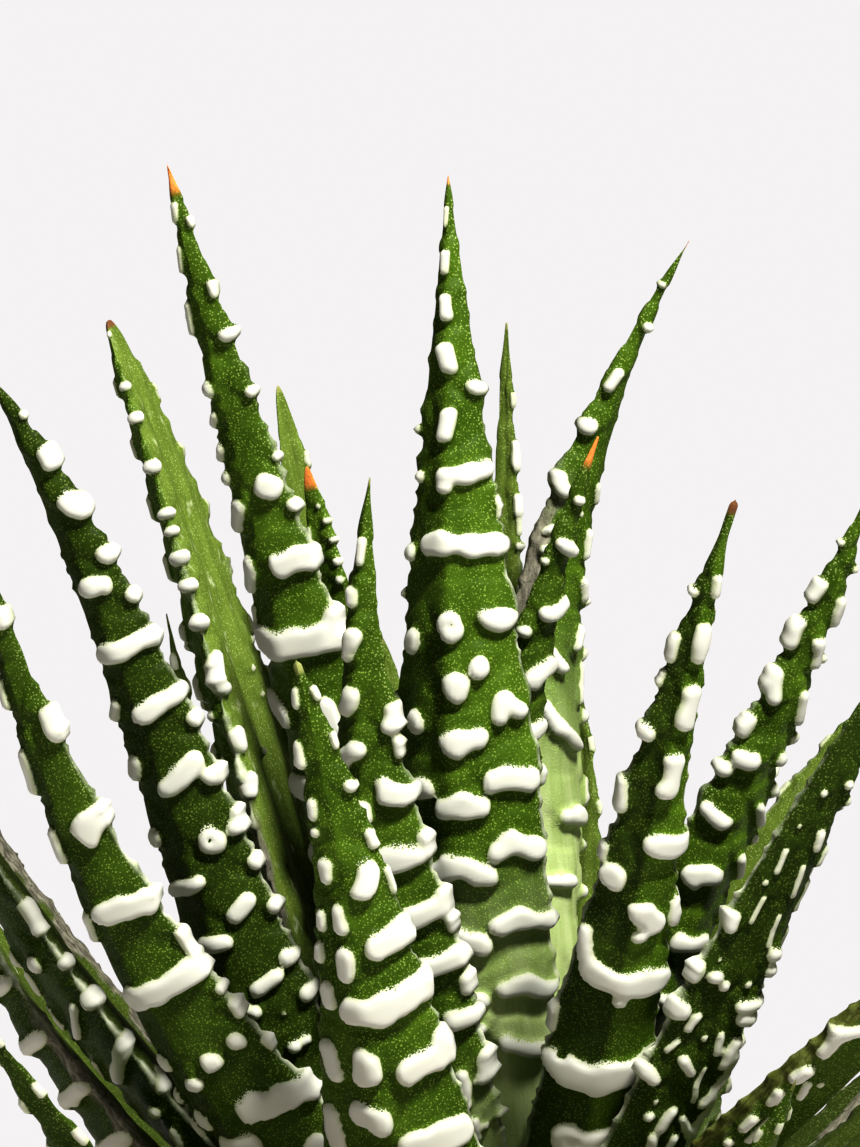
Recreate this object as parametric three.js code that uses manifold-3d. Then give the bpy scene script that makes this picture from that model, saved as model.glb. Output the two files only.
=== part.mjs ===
// A potted zebra haworthia: a rosette of thick keeled leaves with raised white bands on a short stem,
// rooted in lumpy soil in a plain tapered clay pot.
// Millimetres, +Z up, origin at the middle of the pot's flat underside.
import * as THREE from "three";
import { mergeVertices } from "three/addons/utils/BufferGeometryUtils.js";
import Module from "manifold-3d";

const wasm = await Module();
wasm.setup();

// Clearance that touching pieces keep to each other.
const GAP = 0.3;

// Pot.
const POT_HEIGHT = 93;
const POT_FOOT_R = 35;
const POT_NECK_R = 45;
const POT_COLLAR_R = 51;
const POT_COLLAR_H = 18;
const POT_WALL = 5;
const POT_FLOOR = 6;
const POT_EDGE = 1.6;
const POT_SIDES = 30;
const DRAIN_R = 4;
const DRAIN_RING_R = 18;
const DRAIN_COUNT = 3;
const DRAIN_SIDES = 16;

// Where the collar starts, and where the wall inside widens into it.
const SHOULDER_Z = POT_HEIGHT - POT_COLLAR_H;
const INNER_STEP_Z = SHOULDER_Z - 4;
const INNER_TOP_R = POT_COLLAR_R - POT_WALL;

// Soil and stem.
const SOIL_TOP = 87;
const SOIL_MOUND = 0.8;
const SOIL_LUMP = 0.6;
const SOIL_RINGS = 4;
const SOIL_SIDES = 20;
const SOIL_MIDDLE_R = 7;
const SOIL_FOOT_CUT = 3;
const STEM_R = 4;
const STEM_FOOT_Z = 70;
const STEM_TOP_Z = 111;
const STEM_SIDES = 12;
const STEM_FOOT_SHARE = 0.7;
const STEM_TOP_SHARE = 0.62;
const STEM_TOP_RUN = 5;

// Leaf section, as shares of the half width.
const KEEL_DEPTH = 0.66;
const FACE_DEPTH = 0.14;
const WIDTH_GAIN = 1.12;
const BASE_SHARE = 0.45;
const BASE_RUN = 0.45;
const ROOT_R = 2.4;
const TWIST_RUN = 0.35;

// Raised bands.
const BAND_PITCH = 5.8;
const BAND_DROP = 0.9;
const BAND_LIFT = 0.13;
const BAND_LIFT_MIN = 0.12;
const FIRST_BAND = 0.965;
const LAST_BAND = 0.16;

// A cutter is a plain leaf grown by this much, so that a leaf cut by it clears the bands too.
const CUTTER_GROW = 0.4;
const CUTTER_RINGS = 7;

// Flat spots and slivers smaller than this are merged after the cuts.
const SIMPLIFY = 0.12;

// How much of the band's lift each column of the back takes, from the left margin to the right one.
const BAND_COLUMNS = {
  o: [0, 0, 0.25, 1, 0.25, 0, 0],
  m: [0.8, 0.1, 0.2, 1, 0.2, 0.1, 0.8],
  d: [0.2, 1, 0.1, 0.3, 1, 0.2, 0.6],
  e: [0.7, 0.1, 1, 0.2, 0.2, 1, 0.1],
  b: [0.4, 1, 1, 1, 1, 1, 0.4],
  r: [0, 0.1, 0.2, 1, 1, 1, 0.4],
  l: [0.4, 1, 1, 1, 0.2, 0.1, 0],
  s: [0.5, 0.6, 0.4, 0.6, 0.4, 0.6, 0.5],
};

// Each leaf: where it leaves the stem (azimuth, height), the two points that its middle line bends towards,
// its tip, the azimuth that its keeled back faces, its half width, how fast it tapers, and its bands from
// tip to base.
const LEAVES = [
  [[90, 109], [1.2, 8.1, 132.5], [0.4, 11.7, 157.8], [0.7, 13, 184], 75, 2.9, 0.7, "oodedededd"],
  [[105, 108], [-3.2, 7.4, 122.7], [-8, 11.3, 139], [-10.8, 14, 155], 100, 4.2, 0.7, "oodede"],
  [[320, 107.5], [-1.5, -3.8, 131.3], [-0.5, -6, 152.2], [8.6, -8, 176], 300, 4.2, 0.74, "omededebdb"],
  [[200, 107], [-9, -2.3, 129], [-12.4, -2.7, 153], [-17.3, -2, 172.6], 205, 4.9, 0.48, "oodedede"],
  [[270, 107], [-3.2, -12.8, 140], [-4, -14.7, 165.5], [-4.7, -8, 199.2], 249, 10.2, 0.95, "ooomobbdedbbbbb"],
  [[345, 106], [3.8, 3.1, 143.5], [-1.4, 4.3, 161], [17, 3, 192.4], 308, 8.8, 1.06, "ooododeddebbbbb"],
  [[160, 106], [-8.6, 5.3, 128.7], [-15, 8.7, 153], [-20.2, 11, 178.4], 115, 5.1, 0.66, "oodededede"],
  [[60, 105.5], [6.4, 9.4, 119.2], [8.5, 15, 134], [7.5, 19, 150], 60, 4.8, 0.78, "omdedb"],
  [[210, 103.5], [-8.9, -5.7, 127.6], [-18.4, -9.3, 160], [-29.3, -12, 200.4], 232, 7.8, 0.77, "ooooddbbbebbbb"],
  [[243, 101.5], [-6.6, -15.4, 127], [-14.4, -21.7, 145.5], [-11.5, -21, 174], 240, 7.7, 0.9, "ommdldbbbbb"],
  [[122, 101.5], [-8.4, 17.3, 121.8], [-16.3, 29.3, 144], [-25, 38, 168], 125, 7.2, 0.8, "oomdedbbbb"],
  [[92, 101], [-0.7, 12.1, 125.7], [-1.5, 21.7, 149.3], [-2.5, 31, 172], 90, 7.2, 0.8, "oomdedbbbb"],
  [[155, 99], [-17.6, 7, 117], [-20.2, 11.7, 149.5], [-35.8, 15, 184], 158, 7.7, 0.46, "omomdedebebbb"],
  [[178, 96.5], [-15.5, -0.6, 110.2], [-24.7, -0.7, 131], [-30, 0, 159], 160, 4.8, 0.78, "omdedede"],
  [[40, 98], [10.6, 9.2, 111.3], [19.2, 16.7, 127.7], [27.7, 24, 147], 40, 7, 0.8, "omdedbbb"],
  [[5, 98], [8, 1.4, 116], [23.3, 3.3, 134.8], [44.4, 6, 163], 40, 6.8, 0.88, "oomdedbbbb"],
  [[290, 97.5], [9.7, -18.8, 115], [10.3, -30, 144.5], [19.5, -36, 174], 282, 6.6, 0.88, "ommrmrbbbbbb"],
  [[325, 98], [6.2, -9.8, 116.6], [19.3, -16, 139.2], [33.1, -20, 175.3], 300, 7.2, 0.89, "oddededbrsss"],
  [[203, 97], [-22, -8.3, 106], [-23.6, -14, 146.5], [-44.2, -18, 182], 243, 7.2, 0.67, "oodedbbdrdbdee"],
  [[250, 96.5], [-10.4, -20.8, 103], [-7.5, -31.3, 122.6], [-17.7, -34, 160], 257, 10.3, 0.78, "ommdebbbbb"],
  [[60, 95], [11.1, 18, 99.7], [19.3, 32, 108], [26, 44, 120], 60, 7.4, 0.8, "omdbbbb"],
  [[118, 96], [-9, 18.7, 106.7], [-16.7, 33.7, 124], [-24, 47, 148], 118, 7.6, 0.8, "omdedbbbb"],
  [[320, 95], [13, -16.5, 113.2], [21.3, -25.3, 140.6], [40.7, -28, 169], 328, 9.3, 0.86, "omdmdssssss"],
  [[225, 94], [-15.5, -13.2, 110], [-34.8, -22.7, 126.5], [-46.2, -30, 173], 232, 10, 0.92, "oddebbbdebbb"],
  [[185, 94], [-25, -0.1, 104.5], [-42.8, 1.3, 132], [-60.4, 4, 159.2], 177, 8.8, 0.56, "omdebbbdbb"],
  [[135, 93.5], [-15.2, 17.9, 97.8], [-25.7, 31.3, 107], [-33, 42, 121], 132, 7.4, 0.8, "omdbbbb"],
  [[92, 93], [0, 20.8, 96.3], [-0.7, 38.3, 105.7], [-2, 55, 121], 92, 7.6, 0.8, "omdbbbb"],
  [[338, 91.8], [13.4, -15, 111.2], [33, -27.3, 127.8], [54.4, -38, 151.3], 325, 8.3, 0.7, "omdsdsbsds"],
  [[162, 91.5], [-20.8, 9.6, 95.2], [-36.7, 17.3, 108], [-50, 24, 130], 158, 7.4, 0.8, "omdbdbbb"],
  [[22, 93], [18.7, 8.3, 95.7], [34.7, 15.3, 106], [50, 22, 124], 22, 7.4, 0.8, "omdbdbbb"],
  [[0, 91.2], [20.8, -4.2, 96.5], [39.3, -8, 107.3], [58, -12, 124], 350, 7.4, 0.8, "omdbdbbb"],
  [[202, 91.6], [-23.4, -8.3, 99], [-42, -12.7, 121.5], [-58, -14, 154], 188, 7.4, 0.8, "omdbbbbbb"],
  [[300, 92.5], [9.7, -20.7, 96.2], [17.5, -35, 107.3], [24.5, -45, 126], 300, 5.8, 0.8, "omdbbb"],
  [[226, 91], [-18.6, -15.2, 94.3], [-33, -26, 108], [-46, -34, 130.5], 217, 7.2, 0.8, "omdbbb"],
  [[262, 91], [-2.8, -20.8, 94.3], [-5.3, -37.7, 101.3], [-8, -53, 112], 262, 7.2, 0.8, "omdbbb"],
  [[50, 91.4], [16.5, 16.6, 93.8], [29.3, 29.3, 100.7], [40, 40, 112], 45, 7.2, 0.8, "omdbbb"],
].map(([at, low, high, tip, faces, half, taper, bands]) => ({ at, low, high, tip, faces, half, taper, bands }));

const LEAF_GREEN = "#2f6b1e";
const STEM_GREEN = "#9fb26a";
const SOIL_BROWN = "#3b2a1f";
const POT_CLAY = "#b0603c";

function radians(degrees) {
  return (degrees * Math.PI) / 180;
}

// The same number from 0 to 1 each time for a pair of whole numbers.
function draw(n, m) {
  const v = Math.sin(n * 12.9898 + m * 78.233) * 43758.5453;
  return v - Math.floor(v);
}

function meshGeometry(points, triangles) {
  const geometry = new THREE.BufferGeometry();
  geometry.setAttribute("position", new THREE.Float32BufferAttribute(points.flat(), 3));
  geometry.setIndex(triangles.flat());
  return geometry;
}

function solidOf(geometry) {
  const bare = geometry.clone();
  bare.deleteAttribute("normal");
  bare.deleteAttribute("uv");
  const merged = mergeVertices(bare, 1e-3);
  const mesh = new wasm.Mesh({
    numProp: 3,
    vertProperties: new Float32Array(merged.attributes.position.array),
    triVerts: new Uint32Array(merged.index.array),
  });
  return new wasm.Manifold(mesh);
}

function geometryOf(solid) {
  const mesh = solid.getMesh();
  const geometry = new THREE.BufferGeometry();
  geometry.setAttribute("position", new THREE.BufferAttribute(mesh.vertProperties, 3));
  geometry.setIndex(new THREE.BufferAttribute(mesh.triVerts, 1));
  return geometry;
}

// A closed skin over rings of equal length, with a fan at each end round the two given points.
function skin(rings, startPoint, endPoint) {
  const count = rings[0].length;
  const points = [startPoint, ...rings.flat(), endPoint];
  const last = points.length - 1;
  const triangles = [];
  for (let j = 0; j < count; j++) {
    const next = (j + 1) % count;
    triangles.push([0, 1 + next, 1 + j]);
    for (let i = 0; i + 1 < rings.length; i++) {
      const a = 1 + i * count + j;
      const b = 1 + i * count + next;
      triangles.push([a, b, a + count], [b, b + count, a + count]);
    }
    triangles.push([last, last - count + j, last - count + next]);
  }
  return meshGeometry(points, triangles);
}

// The azimuth that the leaf's back faces at t: outwards at the stem, and turned to its own way above it.
function facing(leaf, t) {
  const turn = ((((leaf.faces - leaf.at[0]) % 360) + 540) % 360) - 180;
  return radians(leaf.at[0] + turn * Math.min(1, t / TWIST_RUN));
}

// The place and the directions of a leaf at t, from 0 at the stem to 1 at the tip.
function leafFrame(leaf, t) {
  const turn = radians(leaf.at[0]);
  const start = new THREE.Vector3(ROOT_R * Math.cos(turn), ROOT_R * Math.sin(turn), leaf.at[1]);
  const curve = new THREE.CubicBezierCurve3(
    start,
    new THREE.Vector3(...leaf.low),
    new THREE.Vector3(...leaf.high),
    new THREE.Vector3(...leaf.tip),
  );
  const along = curve.getTangent(t);
  const face = facing(leaf, t);
  const back = new THREE.Vector3(Math.cos(face), Math.sin(face), 0);
  back.addScaledVector(along, -back.dot(along)).normalize();
  const side = new THREE.Vector3().crossVectors(back, along);
  return { middle: curve.getPoint(t), along, back, side, length: curve.getLength() };
}

function halfWidth(leaf, t) {
  const rise = BASE_SHARE + (1 - BASE_SHARE) * Math.min(1, t / BASE_RUN);
  return leaf.half * WIDTH_GAIN * rise * (1 - t) ** leaf.taper;
}

// Eight points round the leaf at t: the back from margin to margin over the keel, then the flat face.
function leafRing(leaf, t, lift, columns, grow) {
  const frame = leafFrame(leaf, t);
  const half = halfWidth(leaf, t) + grow;
  const keel = KEEL_DEPTH * half + grow;
  const shares = [
    [1, 0.02],
    [0.84, 0.44],
    [0.46, 0.82],
    [0, 1],
    [-0.46, 0.82],
    [-0.84, 0.44],
    [-1, 0.02],
  ];
  const ring = shares.map(([u, v], j) => {
    const raise = 1 + (lift * columns[j]) / half;
    return pointAt(frame, u * half * raise, v * keel * raise);
  });
  ring.push(pointAt(frame, 0, -FACE_DEPTH * half - grow));
  return ring;
}

function pointAt(frame, sideways, outwards) {
  const point = frame.middle.clone();
  point.addScaledVector(frame.side, sideways);
  point.addScaledVector(frame.back, outwards);
  return point.toArray();
}

// Where the bands lie along a leaf, from tip to base.
function bandPlaces(leaf) {
  const length = leafFrame(leaf, 0).length;
  const count = leaf.bands.length;
  const step = Math.min((FIRST_BAND - LAST_BAND) / count, BAND_PITCH / length);
  return [...leaf.bands].map((kind, k) => ({ kind, t: FIRST_BAND - step * (k + 0.5), length }));
}

// The leaf with its bands: each band is a gentle swell that ends in a short drop towards the base.
function bandedLeaf(leaf) {
  const flat = BAND_COLUMNS.o.map(() => 0);
  const rings = [leafRing(leaf, 0, 0, flat, 0), leafRing(leaf, 0.08, 0, flat, 0)];
  for (const band of bandPlaces(leaf).reverse()) {
    const drop = BAND_DROP / band.length;
    const lift = BAND_LIFT_MIN + BAND_LIFT * halfWidth(leaf, band.t);
    rings.push(leafRing(leaf, band.t - drop, 0, flat, 0));
    rings.push(leafRing(leaf, band.t, lift, BAND_COLUMNS[band.kind], 0));
  }
  const start = leafFrame(leaf, 0).middle.toArray();
  return solidOf(skin(rings, start, leaf.tip));
}

// A plain leaf, grown by the clearance and the height of the bands.
function cutterLeaf(leaf) {
  const flat = BAND_COLUMNS.o.map(() => 0);
  const rings = [];
  for (let i = 0; i < CUTTER_RINGS; i++) {
    const t = i / CUTTER_RINGS;
    const grow = CUTTER_GROW + BAND_LIFT_MIN + BAND_LIFT * halfWidth(leaf, t);
    rings.push(leafRing(leaf, t, 0, flat, grow));
  }
  const root = leafFrame(leaf, 0);
  const behind = root.along.multiplyScalar(-CUTTER_GROW).toArray();
  rings.unshift(rings[0].map((point) => point.map((v, axis) => v + behind[axis])));
  const tip = leafFrame(leaf, 1);
  const end = tip.middle.addScaledVector(tip.along, 1).toArray();
  const start = root.middle.toArray().map((v, axis) => v + behind[axis]);
  return solidOf(skin(rings, start, end));
}

function largestBody(solid) {
  const bodies = solid.decompose();
  return bodies.reduce((best, body) => (body.volume() > best.volume() ? body : best));
}

// A solid of revolution round the Z axis from (radius, height) pairs that start and end on the axis.
function turned(profile, sides) {
  const points = profile.map(([r, z]) => new THREE.Vector2(r, z));
  return new THREE.LatheGeometry(points, sides).rotateX(Math.PI / 2);
}

function stemProfile(grow) {
  return [
    [0, STEM_FOOT_Z - grow],
    [STEM_R * STEM_FOOT_SHARE + grow, STEM_FOOT_Z - grow],
    [STEM_R + grow, STEM_FOOT_Z + STEM_R],
    [STEM_R + grow, STEM_TOP_Z - STEM_TOP_RUN],
    [STEM_R * STEM_TOP_SHARE + grow, STEM_TOP_Z - 0.3 * STEM_TOP_RUN],
    [0, STEM_TOP_Z + grow],
  ];
}

function potInsideR(z) {
  return POT_FOOT_R + ((POT_NECK_R - POT_FOOT_R) * z) / SHOULDER_Z - POT_WALL;
}

function potSolid() {
  const shell = turned(
    [
      [0, 0],
      [POT_FOOT_R - 1, 0],
      [POT_FOOT_R, 1],
      [POT_NECK_R, SHOULDER_Z],
      [POT_COLLAR_R - POT_EDGE, SHOULDER_Z],
      [POT_COLLAR_R - 0.4 * POT_EDGE, SHOULDER_Z + 1],
      [POT_COLLAR_R, POT_HEIGHT - POT_EDGE],
      [POT_COLLAR_R - POT_EDGE, POT_HEIGHT],
      [INNER_TOP_R + POT_EDGE, POT_HEIGHT],
      [INNER_TOP_R, POT_HEIGHT - POT_EDGE],
      [potInsideR(SHOULDER_Z), INNER_STEP_Z],
      [potInsideR(POT_FLOOR + SOIL_FOOT_CUT), POT_FLOOR + SOIL_FOOT_CUT],
      [potInsideR(POT_FLOOR) - SOIL_FOOT_CUT, POT_FLOOR],
      [0, POT_FLOOR],
    ],
    POT_SIDES,
  );
  let pot = solidOf(shell);
  for (let k = 0; k < DRAIN_COUNT; k++) {
    const turn = (2 * Math.PI * k) / DRAIN_COUNT;
    const drill = new THREE.CylinderGeometry(DRAIN_R, DRAIN_R, POT_FLOOR * 4, DRAIN_SIDES);
    drill.rotateX(Math.PI / 2).translate(DRAIN_RING_R * Math.cos(turn), DRAIN_RING_R * Math.sin(turn), 0);
    pot = pot.subtract(solidOf(drill));
  }
  return pot;
}

// Radius of the soil's side at a height, a gap inside the flats of the pot's many-sided wall.
function soilSideR(z) {
  const flats = Math.cos(Math.PI / POT_SIDES);
  if (z <= INNER_STEP_Z) return potInsideR(z) * flats - GAP;
  const share = (z - INNER_STEP_Z) / (POT_HEIGHT - POT_EDGE - INNER_STEP_Z);
  const middle = potInsideR(SHOULDER_Z);
  return (middle + (INNER_TOP_R - middle) * share) * flats - GAP;
}

function soilRing(radius, height, ringNumber) {
  const ring = [];
  for (let j = 0; j < SOIL_SIDES; j++) {
    const turn = (2 * Math.PI * j) / SOIL_SIDES;
    const lump = ringNumber === 0 ? 0 : SOIL_LUMP * (draw(ringNumber, j) - 0.5);
    ring.push([radius * Math.cos(turn), radius * Math.sin(turn), height + lump]);
  }
  return ring;
}

// Soil that fills the pot: a lumpy top, and a plain hole in the middle for the stem.
function soilSolid() {
  const foot = POT_FLOOR + GAP;
  const rings = [
    soilRing(soilSideR(POT_FLOOR) - SOIL_FOOT_CUT, foot, 0),
    soilRing(soilSideR(POT_FLOOR + SOIL_FOOT_CUT), foot + SOIL_FOOT_CUT, 0),
    soilRing(soilSideR(INNER_STEP_Z), INNER_STEP_Z, 0),
    soilRing(soilSideR(SOIL_TOP) - 0.1, SOIL_TOP - SOIL_LUMP, 0),
  ];
  const widest = soilSideR(SOIL_TOP) - 1.5;
  for (let i = 0; i < SOIL_RINGS; i++) {
    const share = i / (SOIL_RINGS - 1);
    const radius = widest - (widest - SOIL_MIDDLE_R) * share;
    rings.push(soilRing(radius, SOIL_TOP + SOIL_MOUND * share, i + 1));
  }
  const block = solidOf(skin(rings, [0, 0, foot], [0, 0, SOIL_TOP + SOIL_MOUND]));
  return block.subtract(solidOf(turned(stemProfile(GAP), STEM_SIDES)));
}

function leafSolids() {
  const solids = [];
  let taken = solidOf(turned(stemProfile(GAP), STEM_SIDES));
  for (const leaf of LEAVES) {
    const cut = largestBody(bandedLeaf(leaf).subtract(taken));
    solids.push(largestBody(cut.simplify(SIMPLIFY)));
    taken = taken.add(cutterLeaf(leaf));
  }
  return solids;
}

function addPiece(group, name, solid, colour, roughness) {
  const material = new THREE.MeshStandardMaterial({ color: colour, roughness, metalness: 0 });
  const mesh = new THREE.Mesh(geometryOf(solid), material);
  mesh.name = name;
  group.add(mesh);
}

const plant = new THREE.Group();
addPiece(plant, "pot", potSolid(), POT_CLAY, 0.85);
addPiece(plant, "soil", soilSolid(), SOIL_BROWN, 1);
addPiece(plant, "stem", solidOf(turned(stemProfile(0), STEM_SIDES)), STEM_GREEN, 0.7);
leafSolids().forEach((solid, k) => {
  addPiece(plant, "leaf_" + String(k + 1).padStart(2, "0"), solid, LEAF_GREEN, 0.5);
});

export default plant;
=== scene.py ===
"""A potted zebra haworthia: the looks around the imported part.

The leaves repeat the part's own leaf table and formulas in millimetres, on a fine grid, with each white
tubercle raised from the skin. The scene's own units are metres, so points are scaled as they become meshes.
"""
import math
from types import SimpleNamespace

import bpy
import numpy as np
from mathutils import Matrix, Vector


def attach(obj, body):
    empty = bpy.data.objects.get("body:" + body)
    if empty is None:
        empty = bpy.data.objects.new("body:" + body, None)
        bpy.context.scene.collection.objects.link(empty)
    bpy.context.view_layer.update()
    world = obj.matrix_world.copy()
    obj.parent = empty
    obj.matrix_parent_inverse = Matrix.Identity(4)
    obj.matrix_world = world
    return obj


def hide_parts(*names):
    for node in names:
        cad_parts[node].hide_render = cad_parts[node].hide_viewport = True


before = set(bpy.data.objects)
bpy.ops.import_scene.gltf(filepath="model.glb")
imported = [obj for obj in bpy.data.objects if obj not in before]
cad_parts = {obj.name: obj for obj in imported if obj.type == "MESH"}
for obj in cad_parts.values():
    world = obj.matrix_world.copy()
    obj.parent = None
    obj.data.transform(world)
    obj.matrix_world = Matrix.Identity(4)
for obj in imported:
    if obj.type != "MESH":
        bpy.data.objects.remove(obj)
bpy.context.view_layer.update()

# A millimetre in metres, and the number that all ripples start from, each with an offset of its own.
MM = 0.001
SEED = 7

# Leaf form, as in the part's source.
ROOT_R = 2.4
TWIST_RUN = 0.35
FACE_DEPTH = 0.14
WIDTH_GAIN = 1.12
BASE_SHARE = 0.45
BASE_RUN = 0.45
BAND_PITCH = 5.8
FIRST_BAND = 0.965
LAST_BAND = 0.16

# Fine section: the back's curve is (1 - x^KEEL_CURVE)^ROUND_CURVE, with a crisper keel than the part's, and
# from ROUND_RUN down, in shares of the leaf, it turns into the plain round of an ellipse.
FINE_KEEL_DEPTH = 0.7
KEEL_CURVE = 1.2
ROUND_CURVE = 0.68
ROUND_RUN = (0.5, 0.15)

# Pot, soil and stem, as in the part's source.
POT_HEIGHT = 93
POT_FOOT_R = 35
POT_NECK_R = 45
POT_COLLAR_R = 51
SHOULDER_Z = 75
POT_WALL = 5
POT_FLOOR = 6
POT_EDGE = 1.6
INNER_STEP_Z = 71
INNER_TOP_R = 46
DRAIN_R = 4
DRAIN_RING_R = 18
DRAIN_COUNT = 3
FIT_GAP = 0.4
SOIL_TOP = 87
SOIL_MOUND = 0.8
SOIL_FOOT_CUT = 3
STEM_R = 4
STEM_FOOT_Z = 70
STEM_TOP_Z = 111
STEM_GAP = 0.3

# Fine pot, soil and stem: the radius where a profile starts by the axis, sides round it, steps of the pot's
# profile, its turning marks, how far the soil's top edge and its clods stay inside its side, the heights and
# wavelengths of its clods and crumbs, and the stem's narrower foot, its steps and its faint rings.
AXIS_R = 0.5
POT_SIDES = 160
POT_STEP = 1.6
CORNER_STEPS = 6
TURNING_MARK = 0.05
SOIL_SIDES = 220
SOIL_RINGS = 80
SOIL_AXIS_R = 0.4
SOIL_EDGE_GAP = 0.3
SOIL_LIP = 0.6
CLOD_HEIGHT = 0.55
CLODS = ((0.8, 9), (0.7, 3.6), (0.45, 1.7))
CRUMBS = (0.5, 2.4)
STEM_SIDES = 48
STEM_STEP = 0.8
STEM_FOOT_SHARE = 0.7
STEM_RING_DEPTH = 0.05
STEM_RING_TURN = 2.4

# Grid of a leaf's skin: steps for leaves in full view and for those behind, how much wider than long they
# are, where the first row lies from the tip, the columns of a hidden inner face, the steps of one in view,
# and how much closer together the grid is by the tip, by the margins, and by the inner face's margins.
FINE_STEP = 0.31
COARSE_STEP = 0.55
STEP_ASPECT = 1.12
FIRST_ROW = 0.12
FACE_COLUMNS = 12
FACE_STEP = 0.5
TIP_CROWD = 1.05
MARGIN_CROWD = 1.12
FACE_CROWD = 0.6

# Tubercles: how high they stand, how far in they reach that height, the same on the side towards the tip, the
# slope of skin that rises to them, how lobed they are, the wavelengths of the large and the fine lobes, the
# share of the fine ones, the half width below which they are rounder and the least that counts, and how far
# above and below one its skin is worked on.
SPOT_HEIGHT = 0.66
SPOT_REACH = 0.58
UPPER_REACH = 1.7
SPOT_SPREAD = 0.2
SKIRT_HEIGHT = 0.34
SKIRT_REACH = 2.3
LOBES = 0.22
LOBE_WAVES = (2.8, 1.2)
FINE_LOBES = 0.12
ROUND_MARK = 1.1
LEAST_MARK = 0.15
MARK_ABOVE = 4.5
MARK_BELOW = 2

# Skin: slow swells and their wavelength, the inner face's channel and its width, its fine lengthwise grooves,
# the thin pale rim of the margins, the small teeth along them with the half widths of the leaf between which
# they grow, and the wrinkles of dried skin, with the lengths over which a dried strip starts and ends. Near
# the tip all of it is lower.
SWELL = 0.08
SWELL_WAVE = 6.0
FACE_CHANNEL = 1.25
CHANNEL_WIDTH = 0.26
FACE_GROOVE = 0.07
GROOVE_WAVE = 1.6
GROOVE_STRETCH = 9
RIM_WIDTH = 0.15
RIM_RUN = (16, 40)
RIM_LIFT = 0.12
RIM_WAVE = 3.2
TOOTH_PITCH = 2.7
TOOTH_HEIGHT = 0.3
TOOTH_REACH = 0.4
TOOTH_RUN = (0.5, 2.5)
DRY_RELIEF = 0.1
DRY_WAVE = 0.9
DRY_STRETCH = 3
DRY_EDGE = 0.25
DRY_STARTS = 8
DRY_ENDS = 4
TIP_RUN = 3.0
TIP_LIFT = 0.2

# Steps of the tables that a leaf's length and its section are read from, and waves in a ripple.
LENGTH_STEPS = 401
SECTION_STEPS = 400
RIPPLE_WAVES = 7
RIPPLE_SCALE = 3.2

# Skin values for the material: how far the pits and the margins' tint reach.
PIT_MARK = 1.6
PIT_DEPTH = 0.3
EDGE_WIDTH = 0.7

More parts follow.
